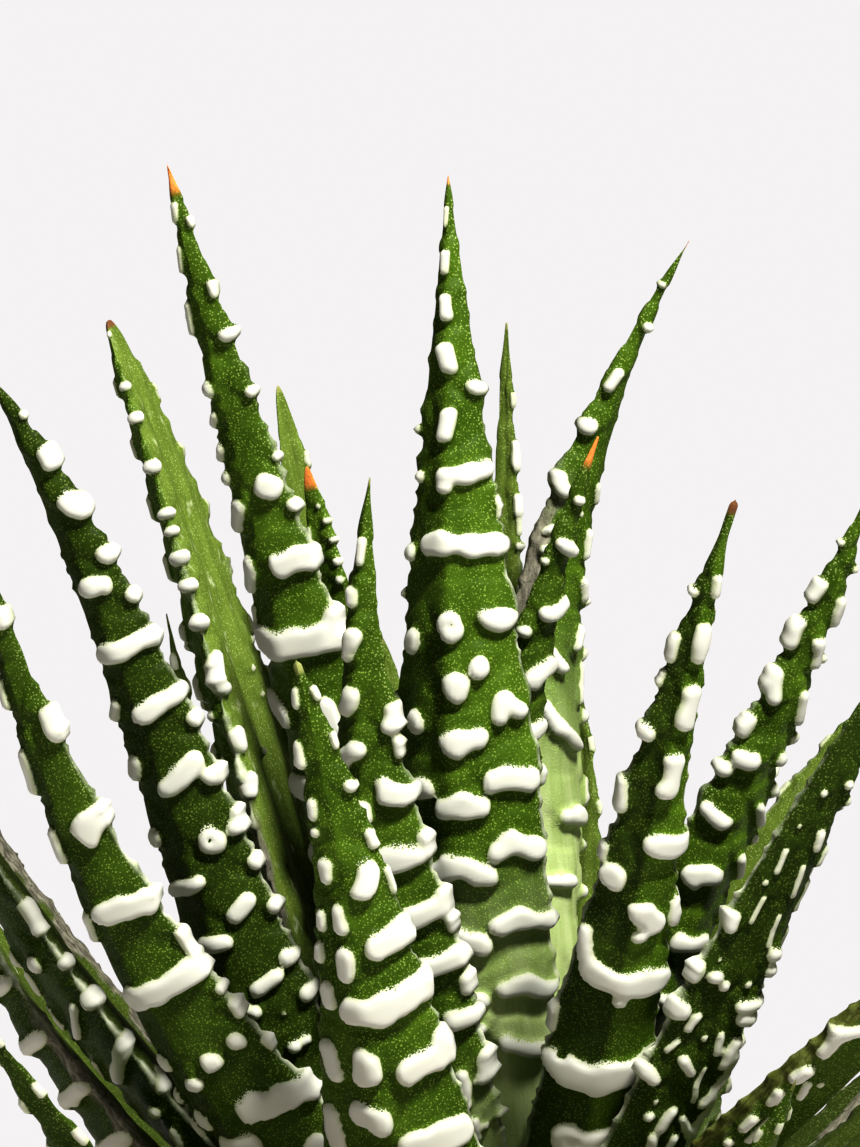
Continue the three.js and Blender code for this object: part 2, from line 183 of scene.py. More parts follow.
# Each leaf: name, the turn and height at which it leaves the stem, the two points that its middle line bends
# towards, its tip, the way its back faces, its half width, how fast it tapers, and a letter for each band,
# from the tip, unless all of its marks are listed below.
LEAVES = [
    ("B", (90, 109), (1.2, 8.1, 132.5), (0.4, 11.7, 157.8), (0.7, 13, 184), 75, 2.9, 0.7, "oodedededd"),
    ("S", (105, 108), (-3.2, 7.4, 122.7), (-8, 11.3, 139), (-10.8, 14, 155), 100, 4.2, 0.7, "oodede"),
    ("D", (320, 107.5), (-1.5, -3.8, 131.3), (-0.5, -6, 152.2), (8.6, -8, 176), 300, 4.2, 0.74, ""),
    ("L", (200, 107), (-9, -2.3, 129), (-12.4, -2.7, 153), (-17.3, -2, 172.6), 205, 4.9, 0.48, ""),
    ("A", (270, 107), (-3.2, -12.8, 140), (-4, -14.7, 165.5), (-4.7, -8, 199.2), 249, 10.2, 0.95, ""),
    ("C", (345, 106), (3.8, 3.1, 143.5), (-1.4, 4.3, 161), (17, 3, 192.4), 308, 8.8, 1.06, ""),
    ("K", (160, 106), (-8.6, 5.3, 128.7), (-15, 8.7, 153), (-20.2, 11, 178.4), 115, 5.1, 0.66, "oodededede"),
    ("T4", (60, 105.5), (6.4, 9.4, 119.2), (8.5, 15, 134), (7.5, 19, 150), 60, 4.8, 0.78, "omdedb"),
    ("I", (210, 103.5), (-8.9, -5.7, 127.6), (-18.4, -9.3, 160), (-29.3, -12, 200.4), 232, 7.8, 0.77, ""),
    ("M", (243, 101.5), (-6.6, -15.4, 127), (-14.4, -21.7, 145.5), (-11.5, -21, 174), 240, 7.7, 0.9, ""),
    ("T2", (122, 101.5), (-8.4, 17.3, 121.8), (-16.3, 29.3, 144), (-25, 38, 168),
     125, 7.2, 0.8, "oomdedbbbb"),
    ("T1", (92, 101), (-0.7, 12.1, 125.7), (-1.5, 21.7, 149.3), (-2.5, 31, 172), 90, 7.2, 0.8, "oomdedbbbb"),
    ("J", (155, 99), (-17.6, 7, 117), (-20.2, 11.7, 149.5), (-35.8, 15, 184),
     158, 7.7, 0.46, "omomdedebebbb"),
    ("R", (178, 96.5), (-15.5, -0.6, 110.2), (-24.7, -0.7, 131), (-30, 0, 159), 160, 4.8, 0.78, "omdedede"),
    ("T3", (40, 98), (10.6, 9.2, 111.3), (19.2, 16.7, 127.7), (27.7, 24, 147), 40, 7, 0.8, "omdedbbb"),
    ("G1", (5, 98), (8, 1.4, 116), (23.3, 3.3, 134.8), (44.4, 6, 163), 40, 6.8, 0.88, "oomdedbbbb"),
    ("E", (290, 97.5), (9.7, -18.8, 115), (10.3, -30, 144.5), (19.5, -36, 174), 282, 6.6, 0.88, ""),
    ("F", (325, 98), (6.2, -9.8, 116.6), (19.3, -16, 139.2), (33.1, -20, 175.3), 300, 7.2, 0.89, ""),
    ("O", (203, 97), (-22, -8.3, 106), (-23.6, -14, 146.5), (-44.2, -18, 182), 243, 7.2, 0.67, ""),
    ("N", (250, 96.5), (-10.4, -20.8, 103), (-7.5, -31.3, 122.6), (-17.7, -34, 160), 257, 10.3, 0.78, ""),
    ("T5", (60, 95), (11.1, 18, 99.7), (19.3, 32, 108), (26, 44, 120), 60, 7.4, 0.8, "omdbbbb"),
    ("T7", (118, 96), (-9, 18.7, 106.7), (-16.7, 33.7, 124), (-24, 47, 148), 118, 7.6, 0.8, "omdedbbbb"),
    ("G", (320, 95), (13, -16.5, 113.2), (21.3, -25.3, 140.6), (40.7, -28, 169), 328, 9.3, 0.86, ""),
    ("P", (225, 94), (-15.5, -13.2, 110), (-34.8, -22.7, 126.5), (-46.2, -30, 173), 232, 10, 0.92, ""),
    ("Q1", (185, 94), (-25, -0.1, 104.5), (-42.8, 1.3, 132), (-60.4, 4, 159.2), 177, 8.8, 0.56, "omdebbbdbb"),
    ("T8", (135, 93.5), (-15.2, 17.9, 97.8), (-25.7, 31.3, 107), (-33, 42, 121), 132, 7.4, 0.8, "omdbbbb"),
    ("T6", (92, 93), (0, 20.8, 96.3), (-0.7, 38.3, 105.7), (-2, 55, 121), 92, 7.6, 0.8, "omdbbbb"),
    ("H", (338, 91.8), (13.4, -15, 111.2), (33, -27.3, 127.8), (54.4, -38, 151.3), 325, 8.3, 0.7, ""),
    ("T9", (162, 91.5), (-20.8, 9.6, 95.2), (-36.7, 17.3, 108), (-50, 24, 130), 158, 7.4, 0.8, "omdbdbbb"),
    ("T10", (22, 93), (18.7, 8.3, 95.7), (34.7, 15.3, 106), (50, 22, 124), 22, 7.4, 0.8, "omdbdbbb"),
    ("T11", (0, 91.2), (20.8, -4.2, 96.5), (39.3, -8, 107.3), (58, -12, 124), 350, 7.4, 0.8, "omdbdbbb"),
    ("Q2", (202, 91.6), (-23.4, -8.3, 99), (-42, -12.7, 121.5), (-58, -14, 154), 188, 7.4, 0.8, "omdbbbbbb"),
    ("H2", (300, 92.5), (9.7, -20.7, 96.2), (17.5, -35, 107.3), (24.5, -45, 126), 300, 5.8, 0.8, "omdbbb"),
    ("Q3", (226, 91), (-18.6, -15.2, 94.3), (-33, -26, 108), (-46, -34, 130.5), 217, 7.2, 0.8, "omdbbb"),
    ("T13", (262, 91), (-2.8, -20.8, 94.3), (-5.3, -37.7, 101.3), (-8, -53, 112), 262, 7.2, 0.8, "omdbbb"),
    ("T12", (50, 91.4), (16.5, 16.6, 93.8), (29.3, 29.3, 100.7), (40, 40, 112), 45, 7.2, 0.8, "omdbbb"),
]

# Ridges of a band letter: how far one end lies below the band's middle and its share across, the same of the
# other end, the half width in shares of the band's size, and 1 if the band's chance shift moves it. The
# letters o and m have a ridge along the keel besides, with a half width and share across of its own.
BY_MARGINS = [(1, 0.93, 2.2, 0.93, 0.55, 0), (-1.6, -0.93, -0.4, -0.93, 0.55, 0)]
BAND_RIDGES = {
    "o": BY_MARGINS,
    "m": BY_MARGINS,
    "d": [
        (-0.5, 0.42, 0.4, 0.45, 0.85, 0), (0, -0.35, 0.5, -0.32, 0.75, 1), (1.2, 0.03, 1.6, 0, 0.6, 0),
        *BY_MARGINS,
    ],
    "e": [
        (-0.5, -0.42, 0.4, -0.45, 0.85, 0), (0, 0.35, 0.5, 0.32, 0.75, 1), (1.2, 0.03, 1.6, 0, 0.6, 0),
        *BY_MARGINS,
    ],
    "b": [(0, -0.82, 0.9, 0, 1, 0), (0.9, 0.05, 0, 0.82, 1, 1)],
}
KEEL_RIDGE = 0.62
KEEL_SHARE = 0.02

# A band's size: its least, how much it grows with the leaf's width, its most, and the range of its shift.
BAND_SIZE = (0.3, 0.1, 1.15)
BAND_SHIFT = 0.6

# Marks that are listed, in millimetres from the tip and shares across: right margin -1, keel 0, left margin
# 1, and beyond that on over the inner face. A round one is place, share, half width. A ridge is place, share,
# place, share, half width.
MARKS = {
    "A": [
        (3, 0.15, 4.5, 0.25, 0.2), (7, 0.1, 8.6, 0.15, 0.35), (11, 0.05, 12.5, 0, 0.5),
        (15.5, 0, 17, -0.1, 0.7), (18.8, -0.82, 0.75), (21, -0.1, 23, 0, 0.6), (22.3, 1, 0.5),
        (26.5, 0.65, 0.6), (26.4, -0.1, 26, -0.8, 0.9), (27.4, 0, 0.65), (28.5, -1, 30, -1, 0.3),
        (32.4, 0.3, 32.4, -0.85, 1.1), (33.2, 0.78, 0.8), (37, 1, 0.5), (39, -0.05, 39.6, -0.1, 1.05),
        (39, -0.6, 39, -0.8, 1.05), (40.8, 0.6, 1.1), (43, -0.4, 0.95), (44.4, -0.12, 1.25),
        (46.5, 0.98, 0.6), (46, -0.65, 47.4, -0.6, 0.8), (46, -0.7, 47, -0.82, 0.85), (48, 0.45, 1.15),
        (49.5, -0.05, 49, -0.3, 1.15), (53, -0.48, 52.6, -0.65, 1.05), (52.6, -0.65, 53.2, -0.86, 1.05),
        (54.4, 0.65, 53.6, 0.3, 1.05), (55.2, 0.05, 54.6, -0.12, 1.05), (54.6, -0.12, 55.2, -0.32, 1.05),
        (59.2, -0.5, 58.5, -0.66, 1), (58.5, -0.66, 59.4, -0.87, 1), (58, 1, 0.7), (60.2, 0.02, 0.9),
        (61.2, 0.25, 60.4, -0.05, 1.05), (60.4, -0.05, 61.2, -0.35, 1.05), (65.9, -0.42, 65.2, -0.62, 1),
        (65.2, -0.62, 66.3, -0.9, 1), (66.6, 0, 67.4, -0.2, 1.15), (68.5, 0.5, 68, 0.8, 0.9),
        (72, -0.42, 71.6, -0.62, 0.95), (71.6, -0.62, 72.8, -0.88, 0.95), (72.6, -0.1, 0.95),
        (74, 0.3, 74.2, 0.8, 0.9), (75.3, -0.1, 0.55), (77, -0.35, 78.4, -0.75, 0.85),
        (79, 0.3, 79.4, 0, 0.8),
    ],
    "I": [
        (3.5, -0.1, 5, 0.3, 0.25), (5, -1, 5.6, -1, 0.25), (7.5, 0.5, 9.5, 0.8, 0.3),
        (11, -0.85, 12, -0.85, 0.3), (12.5, 0.7, 15, 0.8, 0.4), (15.6, -0.85, 0.65), (20, 0.32, 0.72),
        (21, -0.92, 0.5), (22.6, 0.4, 23.2, 0.55, 0.45), (25.6, 0.45, 26.4, 0.6, 0.55), (27.2, -1, 0.4),
        (28.2, 0.45, 0.65), (29.5, -0.58, 1.15), (31, 0.25, 32.5, 0.45, 0.8), (31.7, -1, 0.6),
        (36.5, -0.4, 36.5, -0.88, 1.15), (36.2, 0.3, 38, 0.45, 0.8), (40.5, 0.7, 42, 0.8, 0.35),
        (43.3, 0.6, 43.9, -0.85, 1.3), (42, -1, 44, -0.9, 0.95), (49, 0.7, 50.5, 0.4, 1),
        (50, -0.45, 52, -0.45, 0.9), (57, 0.6, 57.5, -0.7, 1.1), (63.5, 0.5, 63, 0, 1),
        (64, -0.2, 64.5, -0.8, 1), (70.5, 0.5, 71, -0.7, 1),
    ],
    "M": [
        (5.5, -0.1, 7.4, -0.05, 0.32), (10, 0.3, 11, 0.2, 0.5), (13.6, 0.05, 15.5, 0.2, 0.65),
        (19, 0.12, 20, 0.25, 0.85), (20.5, -1, 21.5, -0.87, 0.85), (23.6, 0, 25, 0.45, 0.9),
        (23, -0.92, 24.4, -0.92, 0.4), (27.4, -0.55, 28, -0.8, 1.15), (28.6, 0.02, 29.5, 0, 0.8),
        (32, -1, 33.5, -0.97, 0.6), (33.5, -0.25, 33.5, -0.75, 1.1), (38, 0.4, 38.5, 0, 0.9),
        (39, -0.45, 38.6, -0.85, 1), (37.5, -1, 39, -0.97, 0.6), (40, -1, 41, -1, 0.55),
        (44, -0.5, 43.6, -0.9, 1.1), (44.5, 0.5, 44, 0, 1), (46, -1, 47, -1, 0.7),
        (49.5, -0.72, 49.5, -0.9, 1), (51, 0.5, 51, -0.2, 1), (54, -1, 56, -0.92, 0.7),
        (55, -0.65, 58, -0.6, 0.6), (57.5, 0.5, 57.5, -0.1, 1), (60.7, -1, 0.4), (61, -0.8, 0.4),
        (60, -0.65, 62, -0.65, 0.45),
    ],
    "N": [
        (2.6, 0.9, 3.9, 0.85, 0.35), (2.8, -1, 3.6, -1, 0.35), (7.5, 0.98, 9, 0.82, 0.5),
        (7, -0.9, 8, -0.85, 0.3), (11.6, -0.8, 0.55), (12.5, 0.5, 13.5, 0.52, 0.52), (15, 0.57, 0.45),
        (16, -0.85, 17, -0.88, 0.45), (18, 0.38, 19, 0.35, 0.7), (19, -0.5, 20.4, -0.37, 1),
        (19.6, -1, 21.5, -1, 0.4), (22, 0.2, 23.4, 0.2, 0.7), (22.4, 0.65, 23.6, 0.65, 0.5),
        (24.5, -1, 26, -1, 0.35), (25.4, -0.38, 24.9, -0.8, 1.25), (25.5, 0.75, 26.5, 0.75, 0.6),
        (26, 0.2, 27.5, 0.2, 0.85), (29.4, 0.65, 30.5, 0.6, 0.8), (31, 0.2, 31.2, -0.25, 1.25),
        (31, -0.3, 30, -0.98, 1.35), (35.5, 0.1, 36.6, 0.1, 1.15), (35.4, 0.7, 37.4, 0.57, 0.95),
        (35.2, -0.98, 36.8, -0.96, 1), (37, -0.4, 36.8, -0.8, 1.25), (40.5, 0.2, 41, 0.05, 1.3),
        (42, 0.7, 45, 0.6, 1.1), (44, -0.3, 44, -0.8, 1.45), (49.5, 0.7, 50, 0.35, 1.1),
        (50, 0.2, 50.5, -0.7, 1.3), (57, 0.5, 57, -0.4, 1.3),
    ],
    "O": [
        (3.7, -1, 0.32), (7.5, -0.8, 8.4, -0.8, 0.75), (12, -0.5, 13.4, -0.83, 0.8), (17.7, -0.83, 0.8),
        (20, -0.15, 20, -0.3, 1), (22, -1, 0.7), (26, 0.25, 26, -1, 0.9), (31, 0.5, 32, 0.7, 0.6),
        (32, -0.12, 31.4, -0.85, 0.9), (34, -1, 0.7), (36.5, 0.55, 37.5, 0.65, 0.8),
        (39, -0.1, 37.5, -0.65, 0.95), (39.5, -0.85, 39.5, -0.95, 0.9), (43.2, -1, 0.55), (43.8, 0.62, 0.9),
        (44.5, -0.9, 44.6, -1, 0.7), (44.7, -0.47, 1.15), (48, -1, 0.75), (49, 0.55, 48, -0.08, 0.7),
        (52, -0.4, 51, -0.65, 0.75), (52.5, -1, 0.7), (54, 0.2, 54, -0.15, 0.7), (57.2, -0.87, 0.75),
        (59, -0.35, 58.5, -0.6, 0.72), (60, 0.5, 60.3, 0, 0.8), (61, -0.92, 0.7), (61, -0.2, 0.55),
        (62, -0.53, 0.22), (65.2, -0.5, 0.55), (65, -0.68, 0.45), (66, 0.3, 66, -0.1, 0.8),
        (70.5, -0.4, 70, -0.8, 0.9),
    ],
    "P": [
        (5, 0.3, 6, 0.3, 0.4), (10, -0.6, 11, -0.65, 0.6), (12, 0.5, 13, 0.5, 0.5),
        (16.5, 0.6, 18.5, 0.52, 0.45), (20, -0.92, 22, -1, 0.8), (23, 0.38, 26.4, 0.6, 0.6),
        (31, -0.5, 30, -0.9, 1.2), (30.5, 0.3, 33, 0.27, 0.52), (38.5, -0.2, 39, -0.8, 1.2),
        (39, 0.4, 41, 0.48, 0.52), (43, -1, 45.5, -1, 0.45), (47, 0.2, 46.6, -0.85, 1.17), (49.5, -1, 0.5),
        (51.5, -1, 52.4, -1, 0.6), (54.4, -0.72, 0.8), (54.8, -0.34, 0.85), (54, 0.3, 0.85),
        (56, -1, 57, -1, 0.4), (56.2, -0.02, 0.7), (59, 0.78, 0.7), (60.5, -0.4, 62, -0.98, 1.3),
        (60.5, 0.32, 0.95), (62.5, 0.75, 0.9), (63.5, 0.15, 63.5, -0.1, 1.1), (67, -0.65, 1.1),
        (68, 0.2, 68.4, -0.3, 1.1), (74, 0.5, 74, -0.6, 1.1),
    ],
    "J": [
        (1.2, -1, 0.27), (6.2, -1, 0.4), (9.2, -1, 0.48), (14, -1, 0.64), (18.5, -1, 0.55),
        (20.2, -1, 0.48), (22.8, -1, 0.64), (25.5, -1, 0.66), (29, -1, 0.76), (32.5, -1.1, 34.5, -1, 0.62),
        (35.4, -1.1, 0.64), (37.5, -0.75, 0.54), (39.6, -1.1, 41, -1.1, 0.66), (41.8, -0.75, 0.45),
        (44, -1.1, 45.4, -1.05, 0.7), (49, -0.8, 0.6), (32, 1.27, 0.35), (34.5, 1.65, 0.34),
        (35, 1.02, 0.35), (37, 1.6, 0.34), (37, 1.3, 0.35), (42, -1.78, 0.48), (37.4, 1, 39, 1, 0.5),
        (41, 1, 43, 1, 0.55), (45.5, 1, 47.5, 1, 0.6),
    ],
    "C": [
        (4.6, 0.6, 0.28), (8.6, -0.1, 0.45), (13.5, 0.45, 15, 0.58, 0.52), (19, 0.75, 0.8),
        (24, 0.88, 25, 0.75, 0.6), (25, 0.65, 0.55), (24, -0.4, 25.4, -0.55, 0.38),
        (29, 0.8, 28.6, 0.67, 0.4), (28.4, -0.35, 30.5, -0.4, 0.5), (30.5, 0.68, 0.5),
        (33, -0.45, 34.5, -0.58, 0.58), (35, -1, 0.6), (37.5, -0.45, 39, -0.35, 0.58), (40, -1, 0.7),
        (39.6, 0.2, 41, 0, 0.6), (41, -0.8, 44.4, -0.72, 0.4), (44.5, 0.25, 46.4, 0.05, 0.66),
        (46, -1, 0.7), (46.6, 0, 48.4, -0.5, 0.75), (52, -1, 54, -1, 0.6), (54.6, -0.15, 55, -0.6, 0.92),
        (58, -1, 0.7), (60.5, 0.2, 60.8, -0.2, 0.7), (62, -0.72, 0.72), (66, -1, 0.6),
        (68, -0.3, 68.3, -0.7, 0.8),
    ],
    "D": [
        (5.8, 0, 0.45), (7.2, -0.9, 0.25), (10, 0.15, 10.5, -0.35, 0.65), (12, 0.8, 0.4),
        (16.5, 0, 15.6, -0.88, 0.8), (18.5, 0.7, 0.6), (22.4, 0.1, 21.5, -0.55, 1), (26, 0.75, 0.6),
        (27.5, 0, 27, -0.5, 0.9), (31.5, -0.9, 32.5, -0.9, 0.65), (33.5, 0.2, 34, -0.3, 0.9),
        (40, 0.3, 40, -0.5, 0.9), (46, 0.4, 46, -0.4, 0.9),
    ],
    "E": [
        (7, -0.3, 8.5, -0.42, 0.36), (8.7, 0.98, 0.45), (13, 0.9, 15, 0.9, 0.42),
        (11.5, -0.2, 14.4, -0.22, 0.5), (16.5, 1, 17.5, 1, 0.36), (17.6, -0.28, 20.4, -0.26, 0.72),
        (22, 0.85, 0.78), (24, -0.2, 26.4, -0.15, 0.8), (27, 1, 29.4, 0.92, 0.52),
        (32, -0.15, 32.4, -0.98, 1.1), (33.5, 1, 34.5, 1, 0.45), (35.7, 0.65, 1.15),
        (38.6, -0.15, 39.4, -0.33, 1.2), (38.5, -1, 40, -1, 0.92), (40.6, -0.1, 0.6),
        (41.5, 0.85, 44, 0.75, 0.6), (45, 0.6, 45.2, 0.3, 1.15), (45.5, 0, 46, -0.75, 1.25),
        (47.2, 0.02, 0.55), (50, 1, 52.5, 1, 0.45), (55.4, 0.8, 55.7, 0.6, 1.2),
        (55.4, 0.45, 55.4, 0, 1.55), (55.4, 0, 54.9, -0.8, 1.5), (56.6, 0.1, 0.7), (62.7, 0.3, 1.65),
        (62.9, -0.1, 62.2, -0.8, 1.65), (69.5, 0.3, 69.5, -0.5, 1.2),
    ],
    "F": [
        (4, -0.3, 5, -0.35, 0.35), (8, 0.98, 0.36), (10, -1, 0.5), (12, 0.9, 13.5, 0.95, 0.52),
        (13, -0.4, 15, -0.6, 0.62), (16, 0.95, 18, 0.92, 0.58), (17, -0.12, 19, -0.38, 0.55),
        (18.5, -1, 0.5), (21, 0.85, 23, 0.58, 0.7), (22.4, 1, 0.45), (22, -0.4, 24.4, -0.6, 0.55),
        (25.6, 0.9, 27, 0.9, 0.58), (26.5, -1, 0.6), (28.2, -0.6, 0.7), (29, 0.6, 29, 0.37, 0.92),
        (30.6, 0.88, 0.72), (31.5, -1, 0.6), (33, -0.5, 34.6, -0.85, 0.6), (34.5, 0.75, 35, 0.32, 0.8),
        (36.5, -1, 0.6), (38, -0.5, 40, -0.88, 0.58), (40.5, 0.35, 40, 0.2, 1.2), (44.3, -0.9, 0.72),
        (46.5, 0.1, 46.5, -0.33, 0.95), (49.5, -0.42, 0.58), (50.2, -0.9, 0.72), (52, 0, 53, -0.2, 0.6),
        (54, -0.75, 54.6, -0.9, 0.85), (55.8, -0.9, 0.45), (59, -0.6, 60.4, -0.88, 0.8), (58.7, -0.9, 0.6),
        (64.5, -0.6, 0.6), (65, -0.8, 0.65), (66, -0.5, 0.5), (67.2, -0.82, 0.7), (70, 0.2, 70, -0.2, 0.9),
    ],
    "G": [
        (8, 0.2, 9, 0.2, 0.4), (14, 0.5, 15, 0.5, 0.45), (18.5, 0.1, 19.5, 0.1, 0.5), (23.6, 0.12, 0.5),
        (25, 0.6, 0.4), (28.5, 0.7, 0.25), (28.6, 0.2, 30, 0.15, 0.5), (31, 0.7, 33, 0.66, 0.35),
        (32, 0.22, 34.8, 0.15, 0.35), (34.2, 0.75, 0.3), (35.6, 0.65, 38, 0.65, 0.3),
        (37, 0.22, 39.8, 0.18, 0.32), (38, 0.94, 39, 0.9, 0.7), (40.5, 0.03, 0.8), (42, 0.8, 0.25),
        (43, 1, 44.4, 1, 0.6), (43.5, 0.76, 0.75), (44.2, 0.57, 0.62), (43.8, 0.22, 0.42),
        (46, 0.2, 45.5, -0.1, 0.8), (47, 1, 48, 1, 0.6), (47.4, 0.93, 0.95), (47.6, 0.72, 49, 0.75, 0.5),
        (49.5, 0.5, 0.4), (49, 0.3, 50.8, 0.25, 0.5), (49.6, 0.05, 52, 0.08, 0.7),
        (50.4, 0.8, 51.4, 0.86, 0.4), (51.8, 0.66, 53, 0.48, 0.6), (53.6, 1, 54.4, 0.86, 0.75),
        (52.6, 0.3, 54, 0.3, 0.32), (54, 0, 56.5, 0.1, 0.6), (54.6, 0.3, 56, 0.26, 0.42), (56.5, 0.72, 0.3),
        (57, 0.5, 59, 0.55, 0.65), (58, 0.74, 0.6), (58, 0.3, 60, 0.05, 0.5), (60, 0.05, 58, 0, 0.5),
        (60, 0.3, 61.5, 0.3, 0.6), (60, 0.6, 61, 0.56, 0.65), (65, 0.1, 66, 0, 0.6),
    ],
    "H": [
        (10, 0.3, 0.35), (16, 0.6, 0.4), (20, 0.2, 21, 0.2, 0.5), (25, 0.7, 26, 0.65, 0.5),
        (29, 0.4, 30, 0.4, 0.5), (34.5, 0.66, 36, 0.84, 0.85), (36, 0.84, 38.4, 0.8, 0.75),
        (40.6, 0.76, 42, 0.8, 0.72), (41.5, 0.4, 0.4), (42, 0.58, 43.5, 0.5, 0.46), (45, 0.6, 44, 0.8, 0.5),
        (44, 0.8, 45.4, 0.76, 0.5), (47.6, 0.76, 49, 0.76, 0.62), (47, 0.57, 50, 0.57, 0.45),
        (51, 0.75, 0.55), (55, 0.7, 56, 0.65, 0.5), (60, 0.4, 61, 0.4, 0.55),
    ],
    "Q1": [
        (8, -0.6, 0.35), (14, -0.9, 15, -0.9, 0.4), (20, -0.5, 21, -0.5, 0.5), (26, -0.95, 27, -0.95, 0.5),
        (32, -1.05, 34.5, -1, 0.55), (37, -0.6, 0.9), (38.2, -1.05, 0.7), (37.5, 0, 39.5, 0, 0.45),
        (41.5, -0.05, 43, -0.05, 0.52), (42.2, -1.05, 1.1), (42, -0.75, 44.4, -0.4, 0.55),
        (45, -0.05, 46.4, -0.05, 0.45), (47, -1.05, 49.4, -0.6, 0.8), (47.5, -0.3, 49, -0.12, 0.52),
        (51, -1.1, 52.4, -1.05, 0.58), (52.5, -0.2, 54, -0.1, 0.52), (53.7, -0.78, 0.72),
        (55.2, -1.1, 0.54), (56, -0.8, 57.4, -0.72, 0.52), (62, -0.5, 0.7), (66, -0.8, 67, -0.4, 0.7),
    ],
    "L": [
        (3.6, -0.78, 0.22), (5, -0.92, 0.27), (5.5, -0.1, 6.4, -0.1, 0.26), (6.8, -0.97, 0.3),
        (8.7, -0.93, 0.36), (10.3, -0.86, 0.36), (13, 0.3, 14, 0.35, 0.5), (18, -0.6, 19, -0.5, 0.6),
        (24, 0.4, 24, -0.4, 0.7), (31, 0.4, 31, -0.5, 0.8), (38, 0.4, 38, -0.5, 0.8),
    ],
    "B": [(11, 1, 13, 1, 0.27), (16, 1, 17.5, 1, 0.32), (20.5, 1, 0.36), (24.5, 1, 0.36)],
    "K": [(7.2, 1, 0.2)],
}

# Leaves whose listed marks are made smaller or larger.
MARK_SIZE = {"G": 0.86, "H": 0.85, "P": 1.12, "E": 1.1, "O": 1.1, "I": 1.1, "M": 1.05, "N": 1.05}

# Leaves whose marks are also wanted, turned over and moved down, on the half that the photo hides.
MIRRORED = {"G": 1.7, "H": 1.4}

# Leaves that have their bands as well as the marks listed, and the shares across that these keep between.
BAND_SPAN = {"J": (-0.6, 1), "K": (-0.8, 1), "B": (-0.9, 1), "Q1": (0, 0.9)}

# Small pits in the tubercles: place, share, half width.
PITS = {"A": [(39.3, -0.07, 0.24)], "E": [(54.3, 0.7, 0.3), (62.5, 0.22, 0.36)], "O": [(44.7, -0.45, 0.2)]}

# Dried margins: margin (1 left, -1 right), from and to in millimetres from the tip, width, and tone, from 0
# for near black over 0.5 for grey to 1 for olive brown.
DRY = {
    "C": [(1, 22, 52, 1.4, 0.5)], "H": [(1, 14, 60, 1.1, 1), (-1, 30, 60, 0.5, 0.6)],
    "J": [(1, 44, 60, 0.9, 0.5), (-1, 44, 60, 0.7, 0.4)], "N": [(1, 30, 40, 0.4, 0.7)],
    "Q1": [(1, 6, 70, 4.8, 0.25)], "Q2": [(-1, 30, 60, 0.9, 0.3)],
    "H2": [(-1, 6, 40, 1.6, 0.4)], "T12": [(1, 0, 60, 2.6, 0.4)],
}

# Dry tips: length and tone, from 0 for pale green over 0.5 for brown to 1 for orange.
PLAIN_TIP = (0.8, 0.2)
TIPS = {
    "I": (3.0, 1.0), "L": (2.3, 1.0), "D": (3.2, 1.0), "E": (1.6, 0.6), "A": (1.0, 0.9), "N": (1.5, 0.15),
    "J": (0.9, 0.5), "C": (1.0, 0.8),
}

# Leaves whose tip is broken off or worn, and its half width.
BLUNT = {"E": 0.4, "N": 0.4, "J": 0.3, "F": 0.2, "Q1": 0.3}

# How much deeper than the palest a leaf's green is, 0 to 1: partly its own deeper green and partly painted
# shade, most on leaves that lie in shadow.
PLAIN_DEEP_AND_SHADE = 0.2
DEEP_AND_SHADE = {
    "J": 0, "K": 0, "O": 0.75, "G": 0.6, "I": 0.25, "P": 0.5, "N": 0.25, "A": 0.1, "D": 0.45, "E": 0,
    "F": 0.1, "M": 0.3, "Q1": 0.7, "Q2": 0.7, "Q3": 0.6, "C": 0.1, "L": 0, "H": 0.5, "T10": 0.9, "T12": 1,
}

# Painted shade: how much deeper the green is on the half of the back that lies towards the left margin, the
# half turned away from the key light.
PAINTED_SHADE_LEFT = {"E": 0.75, "A": 0.3, "P": 0.3, "M": 0.3, "F": 0.25, "G": 0.15}

# How far up a leaf its pale base reaches, in shares of its length: from where it is green to its palest.
PLAIN_PALE = (0.2, 0.03)
PALE = {
    "A": (0.38, 0.12), "B": (0.44, 0.14), "C": (0.62, 0.3), "D": (0.6, 0.3), "K": (0.44, 0.14),
    "L": (0.44, 0.14), "S": (0.44, 0.14), "T4": (0.44, 0.14), "E": (0.16, 0.02), "M": (0.3, 0.1),
}

# How thickly the whitish flecks lie on a leaf's inner face.
PLAIN_ROUGH = 0.15
ROUGH_FACE = {"J": 0.9, "K": 0.0, "Q1": 0.3, "Q2": 0.3}

# Leaves seen close by in the photo's view, and those that turn their inner face to it.
IN_VIEW = ("A", "C", "D", "E", "F", "G", "H", "I", "J", "K", "L", "M", "N", "O", "P", "B", "Q1", "G1")
FACE_IN_VIEW = ("J", "K", "G1", "Q1", "Q2", "H", "H2", "R")

# Camera: the photo's view, from a little above the leaves' middle.
PHOTO_SIZE = (860, 1147)
CAMERA_AIM = (-6.3, 0, 162.6)
CAMERA_DISTANCE = 600
CAMERA_RISE_DEG = 8
PHOTO_MM_PER_PIXEL = 0.09
SENSOR_MM = 36

# Light: the key's place and what it is aimed at, in millimetres, its width in metres, its power and colour,
# and the fill and backdrop colours.
KEY_PLACE = (188, -325, 667)
KEY_TARGET = (0, 0, 150)
KEY_SIZE = 0.11
KEY_WATTS = 11
KEY_COLOUR = (1.0, 0.985, 0.95)
FILL_COLOUR = (1.0, 0.95, 0.76, 1)
FILL_STRENGTH = 0.15
BACKDROP = (0.925, 0.91, 0.915, 1)
VIEW_GAMMA = 0.8

# Round floor, small enough to stay out of the photo's view.
FLOOR_R = 420
FLOOR_SIDES = 128
FLOOR_COLOUR = (0.86, 0.85, 0.86)

# Green of a leaf's back: of its blotches, where it is deepest, which also serves as its painted shade,
# the fine grain, and the flecks within the skin and by the margins.
GREENS = ((0.029, 0.065, 0.002), (0.062, 0.121, 0.007))
DEEPEST_AND_SHADED_GREEN = (0.01, 0.017, 0.002)
GRAIN_GREEN = (0.16, 0.25, 0.035)
FLECK_GREENS = ((0.29, 0.41, 0.07), (0.41, 0.51, 0.17))
